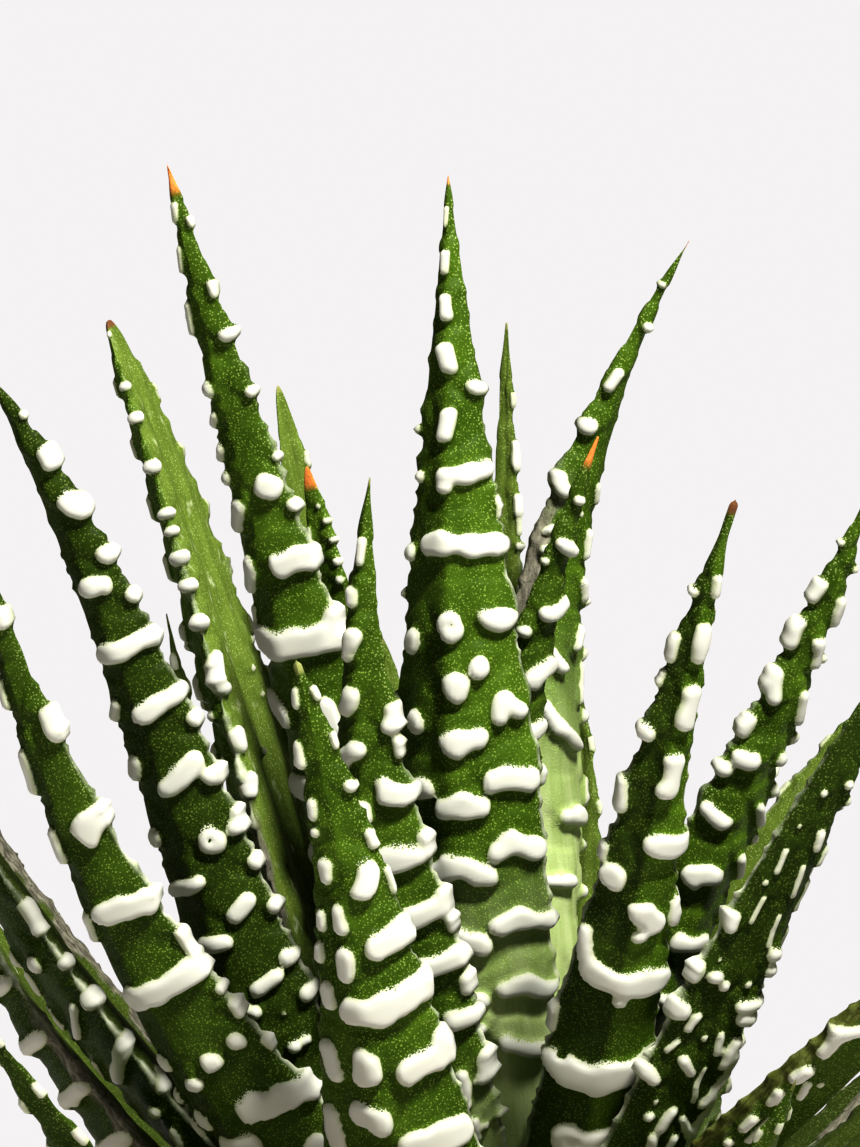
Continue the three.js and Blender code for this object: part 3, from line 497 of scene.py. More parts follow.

# The same of its inner face, whose deepest green also serves as its painted shade, with the whitish flecks,
# and of its pale base and the rim of its margins.
FACE_GREENS = ((0.085, 0.13, 0.018), (0.125, 0.18, 0.03))
FACE_DEEPEST_AND_SHADED = (0.013, 0.021, 0.003)
FACE_GRAIN = (0.2, 0.28, 0.055)
FACE_FLECK = (0.36, 0.47, 0.15)
FACE_WHITISH = (0.42, 0.47, 0.27)
BASE_GREENS = ((0.31, 0.4, 0.14), (0.46, 0.54, 0.26))
RIM_PALE = (0.6, 0.63, 0.48)

# Dried skin from near black over grey to olive brown, its streaks on grey and on brown, and its dark spots.
DRIED_BLACK = (0.03, 0.028, 0.02)
DRIED_GREY = (0.15, 0.14, 0.105)
DRIED_OLIVE = (0.066, 0.075, 0.014)
DRIED_STREAKS = ((0.3, 0.29, 0.22), (0.15, 0.18, 0.05))
DRIED_SPOTS = (0.02, 0.02, 0.014)

# Tubercles at their edge, within, and in creamy patches, and dry tips: pale green, brown, and two oranges.
SPOT_EDGE = (0.45, 0.49, 0.31)
SPOT_WHITE = (0.575, 0.58, 0.52)
SPOT_CREAM = (0.53, 0.525, 0.43)
TIP_TONES = ((0.3, 0.36, 0.12), (0.16, 0.07, 0.03))
TIP_ORANGES = ((0.62, 0.13, 0.015), (0.85, 0.36, 0.1))

# Clay, with its paler and darker patches, soil, with its crumbs, and the stem.
CLAYS = ((0.47, 0.19, 0.09), (0.58, 0.27, 0.14))
CLAY_DUST = (0.68, 0.42, 0.28)
CLAY_GRAIN = (0.33, 0.13, 0.06)
EARTHS = ((0.016, 0.01, 0.006), (0.07, 0.042, 0.024))
CRUMB = (0.13, 0.085, 0.05)
STEM_GREENS = ((0.33, 0.4, 0.12), (0.5, 0.56, 0.25))

# Roughness and specular level of the shaders. A leaf's roughness runs from its skin to its tubercles.
LEAF_ROUGH = (0.46, 0.6)
LEAF_SHEEN = 0.04
CLAY_GLOSS = (0.85, 0.3)
SOIL_GLOSS = (0.95, 0.2)
STEM_GLOSS = (0.55, 0.5)
FLOOR_ROUGH = 0.9


def fraction(n, m):
    """The same number from 0 to 1 each time for a pair of numbers."""
    v = math.sin(n * 12.9898 + m * 78.233) * 43758.5453
    return v - math.floor(v)


def ripple(x, y, wavelength, seed):
    """Smooth noise about -1 to 1: a sum of slanted waves of about one wavelength."""
    total = np.zeros_like(x)
    for k in range(RIPPLE_WAVES):
        turn = 2 * math.pi * fraction(seed, k)
        k_wave = 2 * math.pi / (wavelength * (0.7 + 0.8 * fraction(seed + 3, k)))
        phase = 2 * math.pi * fraction(seed + 7, k)
        total += np.sin((x * math.cos(turn) + y * math.sin(turn)) * k_wave + phase)
    return total / RIPPLE_SCALE


def smooth(low, high, x):
    """A soft step from 0 at low to 1 at high."""
    share = np.clip((x - low) / (high - low), 0, 1)
    return share * share * (3 - 2 * share)


class Leaf:
    """The shape of one leaf: places by t, from 0 at the stem to 1 at the tip, in millimetres."""

    def __init__(self, row):
        self.name, self.at, low, high, tip, self.faces, self.half, self.taper, self.bands = row
        turn = math.radians(self.at[0])
        self.start = np.array([ROOT_R * math.cos(turn), ROOT_R * math.sin(turn), self.at[1]])
        self.low = np.array(low, float)
        self.high = np.array(high, float)
        self.tip = np.array(tip, float)
        self.table_t = np.linspace(0, 1, LENGTH_STEPS)
        places = self.middle(self.table_t)
        steps = np.linalg.norm(np.diff(places, axis=0), axis=1)
        self.run = np.concatenate([[0], np.cumsum(steps)])
        self.length = self.run[-1]

    def middle(self, t):
        t = t[:, None]
        near_stem = (1 - t) ** 3 * self.start + 3 * t * (1 - t) ** 2 * self.low
        return near_stem + 3 * t**2 * (1 - t) * self.high + t**3 * self.tip

    def t_at(self, from_tip):
        return np.interp(self.length - from_tip, self.run, self.table_t)

    def frames(self, t):
        """The places at t, and the directions along the leaf, out of its back and to its side."""
        ahead = t[:, None]
        along = (1 - ahead) ** 2 * (self.low - self.start) + ahead**2 * (self.tip - self.high)
        along += 2 * ahead * (1 - ahead) * (self.high - self.low)
        along /= np.linalg.norm(along, axis=1)[:, None]
        turn = ((self.faces - self.at[0]) % 360 + 540) % 360 - 180
        face = np.radians(self.at[0] + turn * np.minimum(1, t / TWIST_RUN))
        back = np.stack([np.cos(face), np.sin(face), 0 * face], axis=1)
        back -= (along * back).sum(1)[:, None] * along
        back /= np.linalg.norm(back, axis=1)[:, None]
        return self.middle(t), along, back, np.cross(back, along)

    def half_at(self, t):
        rise = BASE_SHARE + (1 - BASE_SHARE) * np.minimum(1, t / BASE_RUN)
        return self.half * WIDTH_GAIN * rise * np.clip(1 - t, 0, 1) ** self.taper


def back_section():
    """Shares of the half width and of the keel's depth along the back's arc, and the arc's length."""
    x = np.sin(np.linspace(0, math.pi / 2, SECTION_STEPS))
    y = np.clip(1 - x**KEEL_CURVE, 0, 1) ** ROUND_CURVE
    arc = np.concatenate([[0], np.cumsum(np.hypot(np.diff(x), FINE_KEEL_DEPTH * np.diff(y)))])
    return arc / arc[-1], x, y, arc[-1]


ARC, ARC_X, ARC_Y, ARC_LENGTH = back_section()


def band_marks(leaf, number):
    """Ridges for a leaf's band letters."""
    step = min((FIRST_BAND - LAST_BAND) / max(1, len(leaf.bands)), BAND_PITCH / leaf.length)
    marks = []
    for k, letter in enumerate(leaf.bands):
        t = FIRST_BAND - step * (k + 0.5)
        s = leaf.length * (1 - t)
        wide = ARC_LENGTH * float(leaf.half_at(np.array([t]))[0])
        size = min(BAND_SIZE[2], BAND_SIZE[0] + BAND_SIZE[1] * wide)
        shift = BAND_SHIFT * (fraction(number, k) - 0.5)
        if letter in "om":
            marks.append((s - size, KEEL_SHARE, s + size, KEEL_SHARE, size * KEEL_RIDGE))
        for s0, u0, s1, u1, share, moved in BAND_RIDGES[letter]:
            marks.append((s + s0 + moved * shift, u0, s + s1 + moved * shift, u1, size * share))
    return marks


def leaf_marks(leaf, number):
    """All the marks of a leaf as ridges: those listed, their turned copies, and the bands of its letters."""
    listed = [m if len(m) == 5 else (m[0], m[1], m[0] + 0.1, m[1], m[2]) for m in MARKS.get(leaf.name, [])]
    size = MARK_SIZE.get(leaf.name, 1)
    listed = [(*m[:4], m[4] * size) for m in listed]
    down = MIRRORED.get(leaf.name, 0)
    if down:
        listed += [(s0 + down, -u0, s1 + down, -u1, r) for s0, u0, s1, u1, r in listed]
    low, high = BAND_SPAN.get(leaf.name, (-1, 1))
    bands = band_marks(leaf, number)
    return listed + [m for m in bands if min(m[1], m[3]) > low and max(m[1], m[3]) < high]


def arc_place(u, half_arc, half):
    """Millimetres round the leaf from the keel for a share across, past 1 on over the inner face."""
    over = np.clip(np.abs(u) - 1, 0, 1)
    return np.sign(u) * (np.minimum(np.abs(u), 1) * half_arc + over * half)


def spot_field(s, a, half_arc, half, marks, seed):
    """How far inside a mark each point lies in millimetres, its size, and how far it faces the tip."""
    wobble = LOBES * ripple(s, a, LOBE_WAVES[0], seed)
    wobble += FINE_LOBES * LOBES * ripple(s, a, LOBE_WAVES[1], seed + 20)
    total = np.full_like(s, 1e-9)
    size = np.zeros_like(s)
    upper = np.zeros_like(s)
    for s0, u0, s1, u1, radius in marks:
        near = (s > min(s0, s1) - radius - MARK_ABOVE) & (s < max(s0, s1) + radius + MARK_BELOW)
        if not near.any():
            continue
        sn, an, wn, hn = s[near], a[near], half_arc[near], half[near]
        a0 = arc_place(u0, wn, hn)
        ds, da = s1 - s0, arc_place(u1, wn, hn) - a0
        share = np.clip(((sn - s0) * ds + (an - a0) * da) / (ds * ds + da * da + 1e-6), 0, 1)
        along = sn - s0 - share * ds
        away = np.hypot(along, an - a0 - share * da)
        inside = radius - away + wobble[near] * min(1, radius / ROUND_MARK) ** 1.5
        weight = np.exp(np.clip(inside / SPOT_SPREAD, -30, 30))
        total[near] += weight
        size[near] += weight * radius
        upper[near] += weight * np.clip(-along / (away + 0.05), 0, 1)
    return SPOT_SPREAD * np.log(total), size / total, upper / total


def spot_lift(depth, size, upper):
    """How far the skin stands up: a dome in each mark, and a slope that rises to its side towards the tip."""
    bulk = np.clip(size, LEAST_MARK, SPOT_REACH) / SPOT_REACH
    reach = SPOT_REACH * bulk * (1 + (UPPER_REACH - 1) * upper)
    share = np.clip(depth / reach, 0, 1)
    dome = SPOT_HEIGHT * bulk * np.sqrt(1 - (1 - share) ** 2)
    fall = np.clip(-depth, 0, 9) / (0.25 + SKIRT_REACH * upper)
    return dome + SKIRT_HEIGHT * bulk * np.exp(-(fall**2))


def pit_field(leaf, s, a, half_arc):
    """Small pits: 1 at the middle of each and 0 outside it."""
    pits = np.zeros_like(s)
    for place, share, radius in PITS.get(leaf.name, []):
        away = np.hypot(s - place, a - share * half_arc)
        pits = np.maximum(pits, np.exp(-((away / radius) ** 2)))
    return pits


def dry_field(leaf, s, a, half_arc):
    """Dried strips along the margins, 0 to 1, on both sides of each margin, and their tone."""
    dry = np.zeros_like(s)
    tone = np.zeros_like(s)
    for margin, first, last, width, strip_tone in DRY.get(leaf.name, []):
        from_margin = np.abs(a * margin - half_arc)
        wide = width * (1 + 0.25 * ripple(s, a, 4, SEED + 90))
        run = smooth(first, first + DRY_STARTS, s) * smooth(last, last - DRY_ENDS, s)
        strip = smooth(wide + DRY_EDGE, wide - DRY_EDGE, from_margin) * run
        tone = np.where(strip > dry, strip_tone, tone)
        dry = np.maximum(dry, strip)
    return dry, tone


def tooth_field(s, a, from_margin, seed):
    """Small pointed teeth along the margins, 0 to 1, in another rhythm on each side."""
    beat = s / TOOTH_PITCH + 0.5 * ripple(s, 0 * s, 7, seed) + 0.4 * np.sign(a)
    share = beat - np.floor(beat)
    tooth = np.clip(1 - 3.4 * np.abs(share - 0.5), 0, 1) ** 1.3
    return tooth * np.exp(-((from_margin / TOOTH_REACH) ** 2))


def mesh_object(name, points, faces, values=None):
    """A smooth mesh from points in millimetres and an array of faces, or a list of such arrays."""
    groups = faces if isinstance(faces, list) else [faces]
    mesh = bpy.data.meshes.new(name)
    mesh.vertices.add(len(points))
    mesh.vertices.foreach_set("co", (np.asarray(points, np.float32) * MM).ravel())
    loops = np.concatenate([g.ravel() for g in groups]).astype(np.int32)
    sizes = np.concatenate([np.full(len(g), g.shape[1], np.int32) for g in groups])
    mesh.loops.add(len(loops))
    mesh.loops.foreach_set("vertex_index", loops)
    mesh.polygons.add(len(sizes))
    mesh.polygons.foreach_set("loop_start", np.concatenate([[0], np.cumsum(sizes)[:-1]]).astype(np.int32))
    mesh.polygons.foreach_set("loop_total", sizes)
    mesh.polygons.foreach_set("use_smooth", np.ones(len(sizes), bool))
    for key, value in (values or {}).items():
        mesh.attributes.new(key, "FLOAT", "POINT").data.foreach_set("value", value.astype(np.float32))
    mesh.update()
    mesh.validate()
    thing = bpy.data.objects.new(name, mesh)
    bpy.context.scene.collection.objects.link(thing)
    return thing


def grid_faces(rows, columns):
    """Four-sided faces of a grid that closes round each row."""
    row = np.arange(rows - 1)[:, None] * columns
    column = np.arange(columns)[None, :]
    ahead = (column + 1) % columns
    corners = [row + column, row + ahead, row + columns + ahead, row + columns + column]
    return np.stack(corners, -1).reshape(-1, 4)


def closed_skin(name, rings, first, last, values=None):
    """A closed mesh over rings of points, shaped rows x columns x 3, with a fan to a point at each end."""
    rows, columns = rings.shape[:2]
    points = np.concatenate([rings.reshape(-1, 3), [first], [last]])
    column = np.arange(columns)
    ahead = (column + 1) % columns
    start = np.stack([ahead, column, np.full(columns, rows * columns)], -1)
    base = (rows - 1) * columns
    end = np.stack([base + column, base + ahead, np.full(columns, rows * columns + 1)], -1)
    faces = [grid_faces(rows, columns), start, end]
    if signed_volume(points, faces) < 0:
        faces = [group[:, ::-1] for group in faces]
    padded = {}
    for key, value in (values or {}).items():
        padded[key] = np.concatenate([value.reshape(-1), [value[0].mean(), value[-1].mean()]])
    return mesh_object(name, points, faces, padded)


def signed_volume(points, faces):
    """Six times the volume that the faces close in, negative when they face inwards."""
    total = 0.0
    for group in faces:
        for k in range(1, group.shape[1] - 1):
            a, b, c = points[group[:, 0]], points[group[:, k]], points[group[:, k + 1]]
            total += (a * np.cross(b, c)).sum()
    return total


def back_shares(half, step):
    """Shares across the back from the left margin to the right one, closer together by the margins."""
    u = np.linspace(1, -1, int(2 * half.max() * ARC_LENGTH / (step * STEP_ASPECT)))
    return np.sign(u) * (1 - (1 - np.abs(u)) ** MARGIN_CROWD)


def face_shares(leaf, half):
    """Shares of the half width across the inner face, from the right margin to the left one."""
    columns = int(2 * half.max() / FACE_STEP) if leaf.name in FACE_IN_VIEW else FACE_COLUMNS
    turn = np.linspace(math.pi, 0, columns + 2)[1:-1]
    return FACE_CROWD * np.cos(turn) + (1 - FACE_CROWD) * np.linspace(-1, 1, columns + 2)[1:-1]


def leaf_section(u, x_face, t):
    """Sideways and outward places round each row, in shares of the half width."""
    channel = 1 - FACE_CHANNEL * np.exp(-((x_face / CHANNEL_WIDTH) ** 2))
    x_back = np.sign(u) * np.interp(np.abs(u), ARC, ARC_X)
    keeled = np.interp(np.abs(u), ARC, ARC_Y)
    rounded_off = smooth(*ROUND_RUN, t)[:, None]
    y_back = keeled + (np.sqrt(1 - x_back**2) - keeled) * rounded_off
    y_face = np.broadcast_to(-FACE_DEPTH * (1 - x_face**2) * channel, (len(t), len(x_face)))
    return np.concatenate([x_back, x_face]), np.concatenate([y_back * FINE_KEEL_DEPTH, y_face], 1)


def leaf_grid(leaf):
    """Rows along the leaf and columns round it: places, widths, and places in millimetres on the skin."""
    step = FINE_STEP if leaf.name in IN_VIEW else COARSE_STEP
    rows = int(leaf.length / step)
    s = FIRST_ROW + (leaf.length - FIRST_ROW) * (np.arange(rows) / (rows - 1)) ** TIP_CROWD
    t = leaf.t_at(s)
    middle, _, back, side = leaf.frames(t)
    half = np.maximum(leaf.half_at(t), BLUNT.get(leaf.name, 0) * smooth(0, 0.5, s))
    u = back_shares(half, step)
    x_face = face_shares(leaf, half)
    x, y = leaf_section(u, x_face, t)
    rings = middle[:, None] + side[:, None] * (x[None, :] * half[:, None])[..., None]
    rings += back[:, None] * (y * half[:, None])[..., None]

    share = np.concatenate([u, np.sign(x_face) * (2 - np.abs(x_face))])
    half_grid = np.repeat(half[:, None], len(share), 1)
    a = arc_place(share[None, :], half_grid * ARC_LENGTH, half_grid)
    across = a.copy()
    across[:, len(u):] = x_face * half[:, None]
    s = np.repeat(s[:, None], len(share), 1)
    return SimpleNamespace(t=t, s=s, a=a, across=across, half=half_grid, rings=rings, columns=len(u))


def leaf_fields(leaf, number, grid):
    """What the skin's relief and its material both read: marks, pits, dried strips and margins."""
    s, a = grid.s, grid.a
    half_arc = grid.half * ARC_LENGTH
    marks = leaf_marks(leaf, number)
    depth, size, upper = spot_field(s, a, half_arc, grid.half, marks, SEED + number)
    pits = pit_field(leaf, s, a, half_arc)
    dry, dry_tone = dry_field(leaf, s, a, half_arc)
    depth -= PIT_MARK * pits
    from_margin = np.abs(np.abs(a) - half_arc)
    rim_wave = ripple(s, np.sign(a), RIM_WAVE, SEED + 70 + number)
    rim_width = RIM_WIDTH * np.maximum(0.3, 1 + 0.6 * rim_wave)
    rim = smooth(rim_width, 0.4 * rim_width, from_margin) * smooth(*RIM_RUN, s)
    return SimpleNamespace(
        depth=depth, size=size, upper=upper, pits=pits, dry=dry, dry_tone=dry_tone,
        from_margin=from_margin, rim=rim,
    )


def leaf_lift(number, grid, skin):
    """How far each point of the skin is moved outwards, in millimetres."""
    s, a = grid.s, grid.a
    lift = spot_lift(skin.depth + skin.pits, skin.size, skin.upper) - PIT_DEPTH * skin.pits
    teeth = tooth_field(s, a, skin.from_margin, SEED + 50 + number)
    lift += TOOTH_HEIGHT * teeth * smooth(*TOOTH_RUN, grid.half)
    lift *= smooth(0, TIP_RUN, s) * (1 - TIP_LIFT) + TIP_LIFT
    lift += SWELL * ripple(s, a, SWELL_WAVE, SEED + 40 + number)
    lift += RIM_LIFT * skin.rim
    wrinkles = ripple(s / DRY_STRETCH, a, DRY_WAVE, SEED + 60 + number)
    lift += DRY_RELIEF * skin.dry * (1.3 - skin.dry_tone) * wrinkles
    grooves = FACE_GROOVE * ripple(s / GROOVE_STRETCH, grid.across, GROOVE_WAVE, SEED + 80 + number)
    lift[:, grid.columns:] += grooves[:, grid.columns:]
    return lift


def leaf_values(leaf, grid, skin):
    """The values that the leaf's material reads at each point."""
    shape = grid.s.shape
    tip_length, tip_tone = TIPS.get(leaf.name, PLAIN_TIP)
    inner = np.zeros(shape)
    inner[:, grid.columns:] = 1
    low = smooth(*PALE.get(leaf.name, PLAIN_PALE), grid.t)
    # Painted shade on the half of the back towards the left margin, turned away from the key light.
    left_painted_shade = PAINTED_SHADE_LEFT.get(leaf.name, 0) * smooth(-0.1, 0.5, grid.a)
    return {
        "spot": np.clip(skin.depth, -2, 2),
        "upper": skin.upper,
        "inner": inner,
        "rim": skin.rim,
        "rough_face": np.full(shape, ROUGH_FACE.get(leaf.name, PLAIN_ROUGH)),
        "edge": np.exp(-((skin.from_margin / EDGE_WIDTH) ** 2)),
        "dry": skin.dry,
        "dry_tone": skin.dry_tone,
        "low": np.broadcast_to(low[:, None], shape),
        "tip": smooth(tip_length, 0.6 * tip_length, grid.s),
        "tone": np.full(shape, tip_tone),
        # The leaf's deep tone together with its painted shade.
        "deep_and_shade": DEEP_AND_SHADE.get(leaf.name, PLAIN_DEEP_AND_SHADE) + left_painted_shade,
        "down": grid.s * MM,
        "across": grid.across * MM,
    }


def leaf_piece(row, number, material):
    """One leaf: its skin on a fine grid with each tubercle raised."""
    leaf = Leaf(row)
    grid = leaf_grid(leaf)
    skin = leaf_fields(leaf, number, grid)
    grid.rings += outward_normals(grid.rings) * leaf_lift(number, grid, skin)[..., None]
    values = leaf_values(leaf, grid, skin)
    piece = closed_skin("leaf_skin_" + leaf.name, grid.rings, leaf.tip, leaf.start, values)
    piece.data.materials.append(material)
    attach(piece, "root")
    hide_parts("leaf_%02d" % (number + 1))


def rounded(corners):
    """A profile of (radius, height) from corners of (radius, height, fillet); the first and last stay."""
    points = []
    for k, (r, z, fillet) in enumerate(corners):
        here = np.array([r, z], float)
        if fillet == 0 or k in (0, len(corners) - 1):
            points.append(here)
            continue
        before = np.array(corners[k - 1][:2], float) - here
        after = np.array(corners[k + 1][:2], float) - here
        start = here + before / np.linalg.norm(before) * fillet
        end = here + after / np.linalg.norm(after) * fillet
        for share in np.linspace(0, 1, CORNER_STEPS):
            points.append((1 - share) ** 2 * start + 2 * share * (1 - share) * here + share**2 * end)
    return np.array(points)


def divided(profile, step):
    """The same profile with no part longer than a step."""
    points = [profile[0]]
    for a, b in zip(profile[:-1], profile[1:]):
        count = max(1, int(np.ceil(np.linalg.norm(b - a) / step)))
        points += [a + (b - a) * (k + 1) / count for k in range(count)]
    return np.array(points)


def turned_rings(profile, sides):
    """Rings round the Z axis from a profile, shaped rows x columns x 3."""
    turn = np.linspace(0, 2 * math.pi, sides, endpoint=False)
    x = profile[:, :1] * np.cos(turn)[None, :]
    y = profile[:, :1] * np.sin(turn)[None, :]
    z = np.repeat(profile[:, 1:], sides, 1)
    return np.stack([x, y, z], -1)


def pot_inside_r(z):
    """The pot's inner radius at a height below its collar."""
    return POT_FOOT_R + (POT_NECK_R - POT_FOOT_R) * z / SHOULDER_Z - POT_WALL


def pot_piece():
    """The clay pot: a turned shell with rounded edges and faint turning marks, and three drain holes."""
    inner_foot = pot_inside_r(POT_FLOOR) - SOIL_FOOT_CUT
    foot_top = POT_FLOOR + SOIL_FOOT_CUT
    outside = [
        (AXIS_R, 0, 0), (POT_FOOT_R, 0, 1.2), (POT_NECK_R, SHOULDER_Z, 1.0),
        (POT_COLLAR_R - 0.2, SHOULDER_Z, 0.9), (POT_COLLAR_R, POT_HEIGHT, POT_EDGE),
    ]
    inside = [
        (INNER_TOP_R, POT_HEIGHT, POT_EDGE), (pot_inside_r(SHOULDER_Z), INNER_STEP_Z, 2),
        (pot_inside_r(foot_top), foot_top, 1.5), (inner_foot, POT_FLOOR, 1.5), (AXIS_R, POT_FLOOR, 0),
    ]
    rings = turned_rings(divided(rounded(outside + inside), POT_STEP), POT_SIDES)
    height = rings[..., 2]
    radius = np.hypot(rings[..., 0], rings[..., 1])
    turn = np.arctan2(rings[..., 1], rings[..., 0])
    marks = TURNING_MARK * ripple(height, 0.4 * np.sin(turn), 3.2, SEED + 200)
    marks += TURNING_MARK * ripple(rings[..., 0], rings[..., 1] + height, 30, SEED + 210)
    outer = (radius > pot_inside_r(height) + 0.5 * POT_WALL) & (height > 2) & (height < POT_HEIGHT - 1)
    rings[..., :2] *= (1 + marks * outer / radius)[..., None]
    pot = closed_skin("pot_fine", rings, [0, 0, 0], [0, 0, POT_FLOOR])
    low, high = -5.0, POT_FLOOR * 2
    drill = turned_rings(np.array([[DRAIN_R, low], [DRAIN_R, high]]), STEM_SIDES)
    for k in range(DRAIN_COUNT):
        angle = 2 * math.pi * k / DRAIN_COUNT
        x, y = DRAIN_RING_R * math.cos(angle), DRAIN_RING_R * math.sin(angle)
        cut_away(pot, closed_skin("drill", drill + [x, y, 0], [x, y, low], [x, y, high]))
    dress(pot, clay_material())
    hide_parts("pot")


def cut_away(thing, tool):
    """Takes the tool's shape out of the thing and removes the tool."""
    cut = thing.modifiers.new("cut", "BOOLEAN")
    cut.operation = "DIFFERENCE"
    cut.solver = "EXACT"
    cut.object = tool
    bpy.context.view_layer.update()
    solid = bpy.data.meshes.new_from_object(thing.evaluated_get(bpy.context.evaluated_depsgraph_get()))
    thing.modifiers.clear()
    thing.data = solid
    bpy.data.objects.remove(tool)


def dress(piece, material):
    """Gives a piece its material, body and slot."""
    piece.data.materials.clear()
    piece.data.materials.append(material)
    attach(piece, "root")


def soil_side_r(z):
    """The soil's radius at a height, a gap inside the pot's wall."""
    if z <= INNER_STEP_Z:
        return pot_inside_r(z) - FIT_GAP
    share = (z - INNER_STEP_Z) / (POT_HEIGHT - POT_EDGE - INNER_STEP_Z)
    middle = pot_inside_r(SHOULDER_Z)
    return middle + (INNER_TOP_R - middle) * share - FIT_GAP


def clods(x, y):
    """Heights of the soil's clods and crumbs."""
    rough = 0
    for k, (height, wavelength) in enumerate(CLODS):
        rough = rough + height * ripple(x, y, wavelength, SEED + 300 + 10 * k)
    return CLOD_HEIGHT * (rough + CRUMBS[0] * np.abs(ripple(x, y, CRUMBS[1], SEED + 330)))


def soil_piece():
    """Loose soil: a rough top of clods and crumbs round the stem's plain hole, and a plain side and foot."""
    hole = STEM_R + STEM_GAP
    hole_floor = STEM_FOOT_Z - STEM_GAP
    foot_z = POT_FLOOR + STEM_GAP
    edge = soil_side_r(SOIL_TOP) - SOIL_EDGE_GAP
    top_r = np.linspace(hole, edge - SOIL_LIP, SOIL_RINGS)
    top_z = SOIL_TOP + SOIL_MOUND * (edge - top_r) / (edge - hole) - 0.5
    hole_foot = STEM_FOOT_SHARE * STEM_R + STEM_GAP
    wall = [(SOIL_AXIS_R, hole_floor), (hole_foot, hole_floor), (hole, STEM_FOOT_Z + STEM_R)]
    side_z = (SOIL_TOP - 1.2, INNER_STEP_Z, POT_FLOOR + SOIL_FOOT_CUT + STEM_GAP)
    side = [(soil_side_r(z) - (SOIL_EDGE_GAP if z > INNER_STEP_Z else 0), z) for z in side_z]
    foot = [(soil_side_r(POT_FLOOR) - SOIL_FOOT_CUT, foot_z), (SOIL_AXIS_R, foot_z)]
    rings = turned_rings(np.array(wall + list(zip(top_r, top_z)) + side + foot), SOIL_SIDES)
    top = slice(len(wall), len(wall) + SOIL_RINGS)
    calm = smooth(hole, hole + 1.5, top_r) * smooth(edge - SOIL_LIP, edge - 2.5, top_r)
    rings[top, :, 2] += clods(rings[top, :, 0], rings[top, :, 1]) * calm[:, None]
    soil = closed_skin("soil_fine", rings, [0, 0, hole_floor], [0, 0, foot_z])
    dress(soil, soil_material())
    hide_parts("soil")


def stem_piece():
    """The short stem, round with a domed top and faint rings."""
    corners = [
        (0.4, STEM_FOOT_Z, 0), (STEM_FOOT_SHARE * STEM_R, STEM_FOOT_Z, 0.5),
        (STEM_R, STEM_FOOT_Z + STEM_R, 1), (STEM_R, STEM_TOP_Z - 5, 1.5),
        (0.62 * STEM_R, STEM_TOP_Z - 1.5, 1), (0.3, STEM_TOP_Z, 0),
    ]
    profile = divided(rounded(corners), STEM_STEP)
    profile[1:-1, 0] -= STEM_RING_DEPTH + STEM_RING_DEPTH * np.sin(profile[1:-1, 1] * STEM_RING_TURN)
    rings = turned_rings(profile, STEM_SIDES)
    stem = closed_skin("stem_fine", rings, [0, 0, STEM_FOOT_Z], [0, 0, STEM_TOP_Z])
    dress(stem, stem_material())
    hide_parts("stem")


def outward_normals(rings):
    """Unit normals of a grid of rings, pointing away from each ring's middle."""
    ahead = np.roll(rings, -1, 1) - np.roll(rings, 1, 1)
    along = np.gradient(rings, axis=0)
    normal = np.cross(ahead, along)
    normal /= np.linalg.norm(normal, axis=2)[..., None] + 1e-9
    out = rings - rings.mean(1)[:, None]
    flip = np.sign((normal * out).sum(2).mean())
    return normal * flip


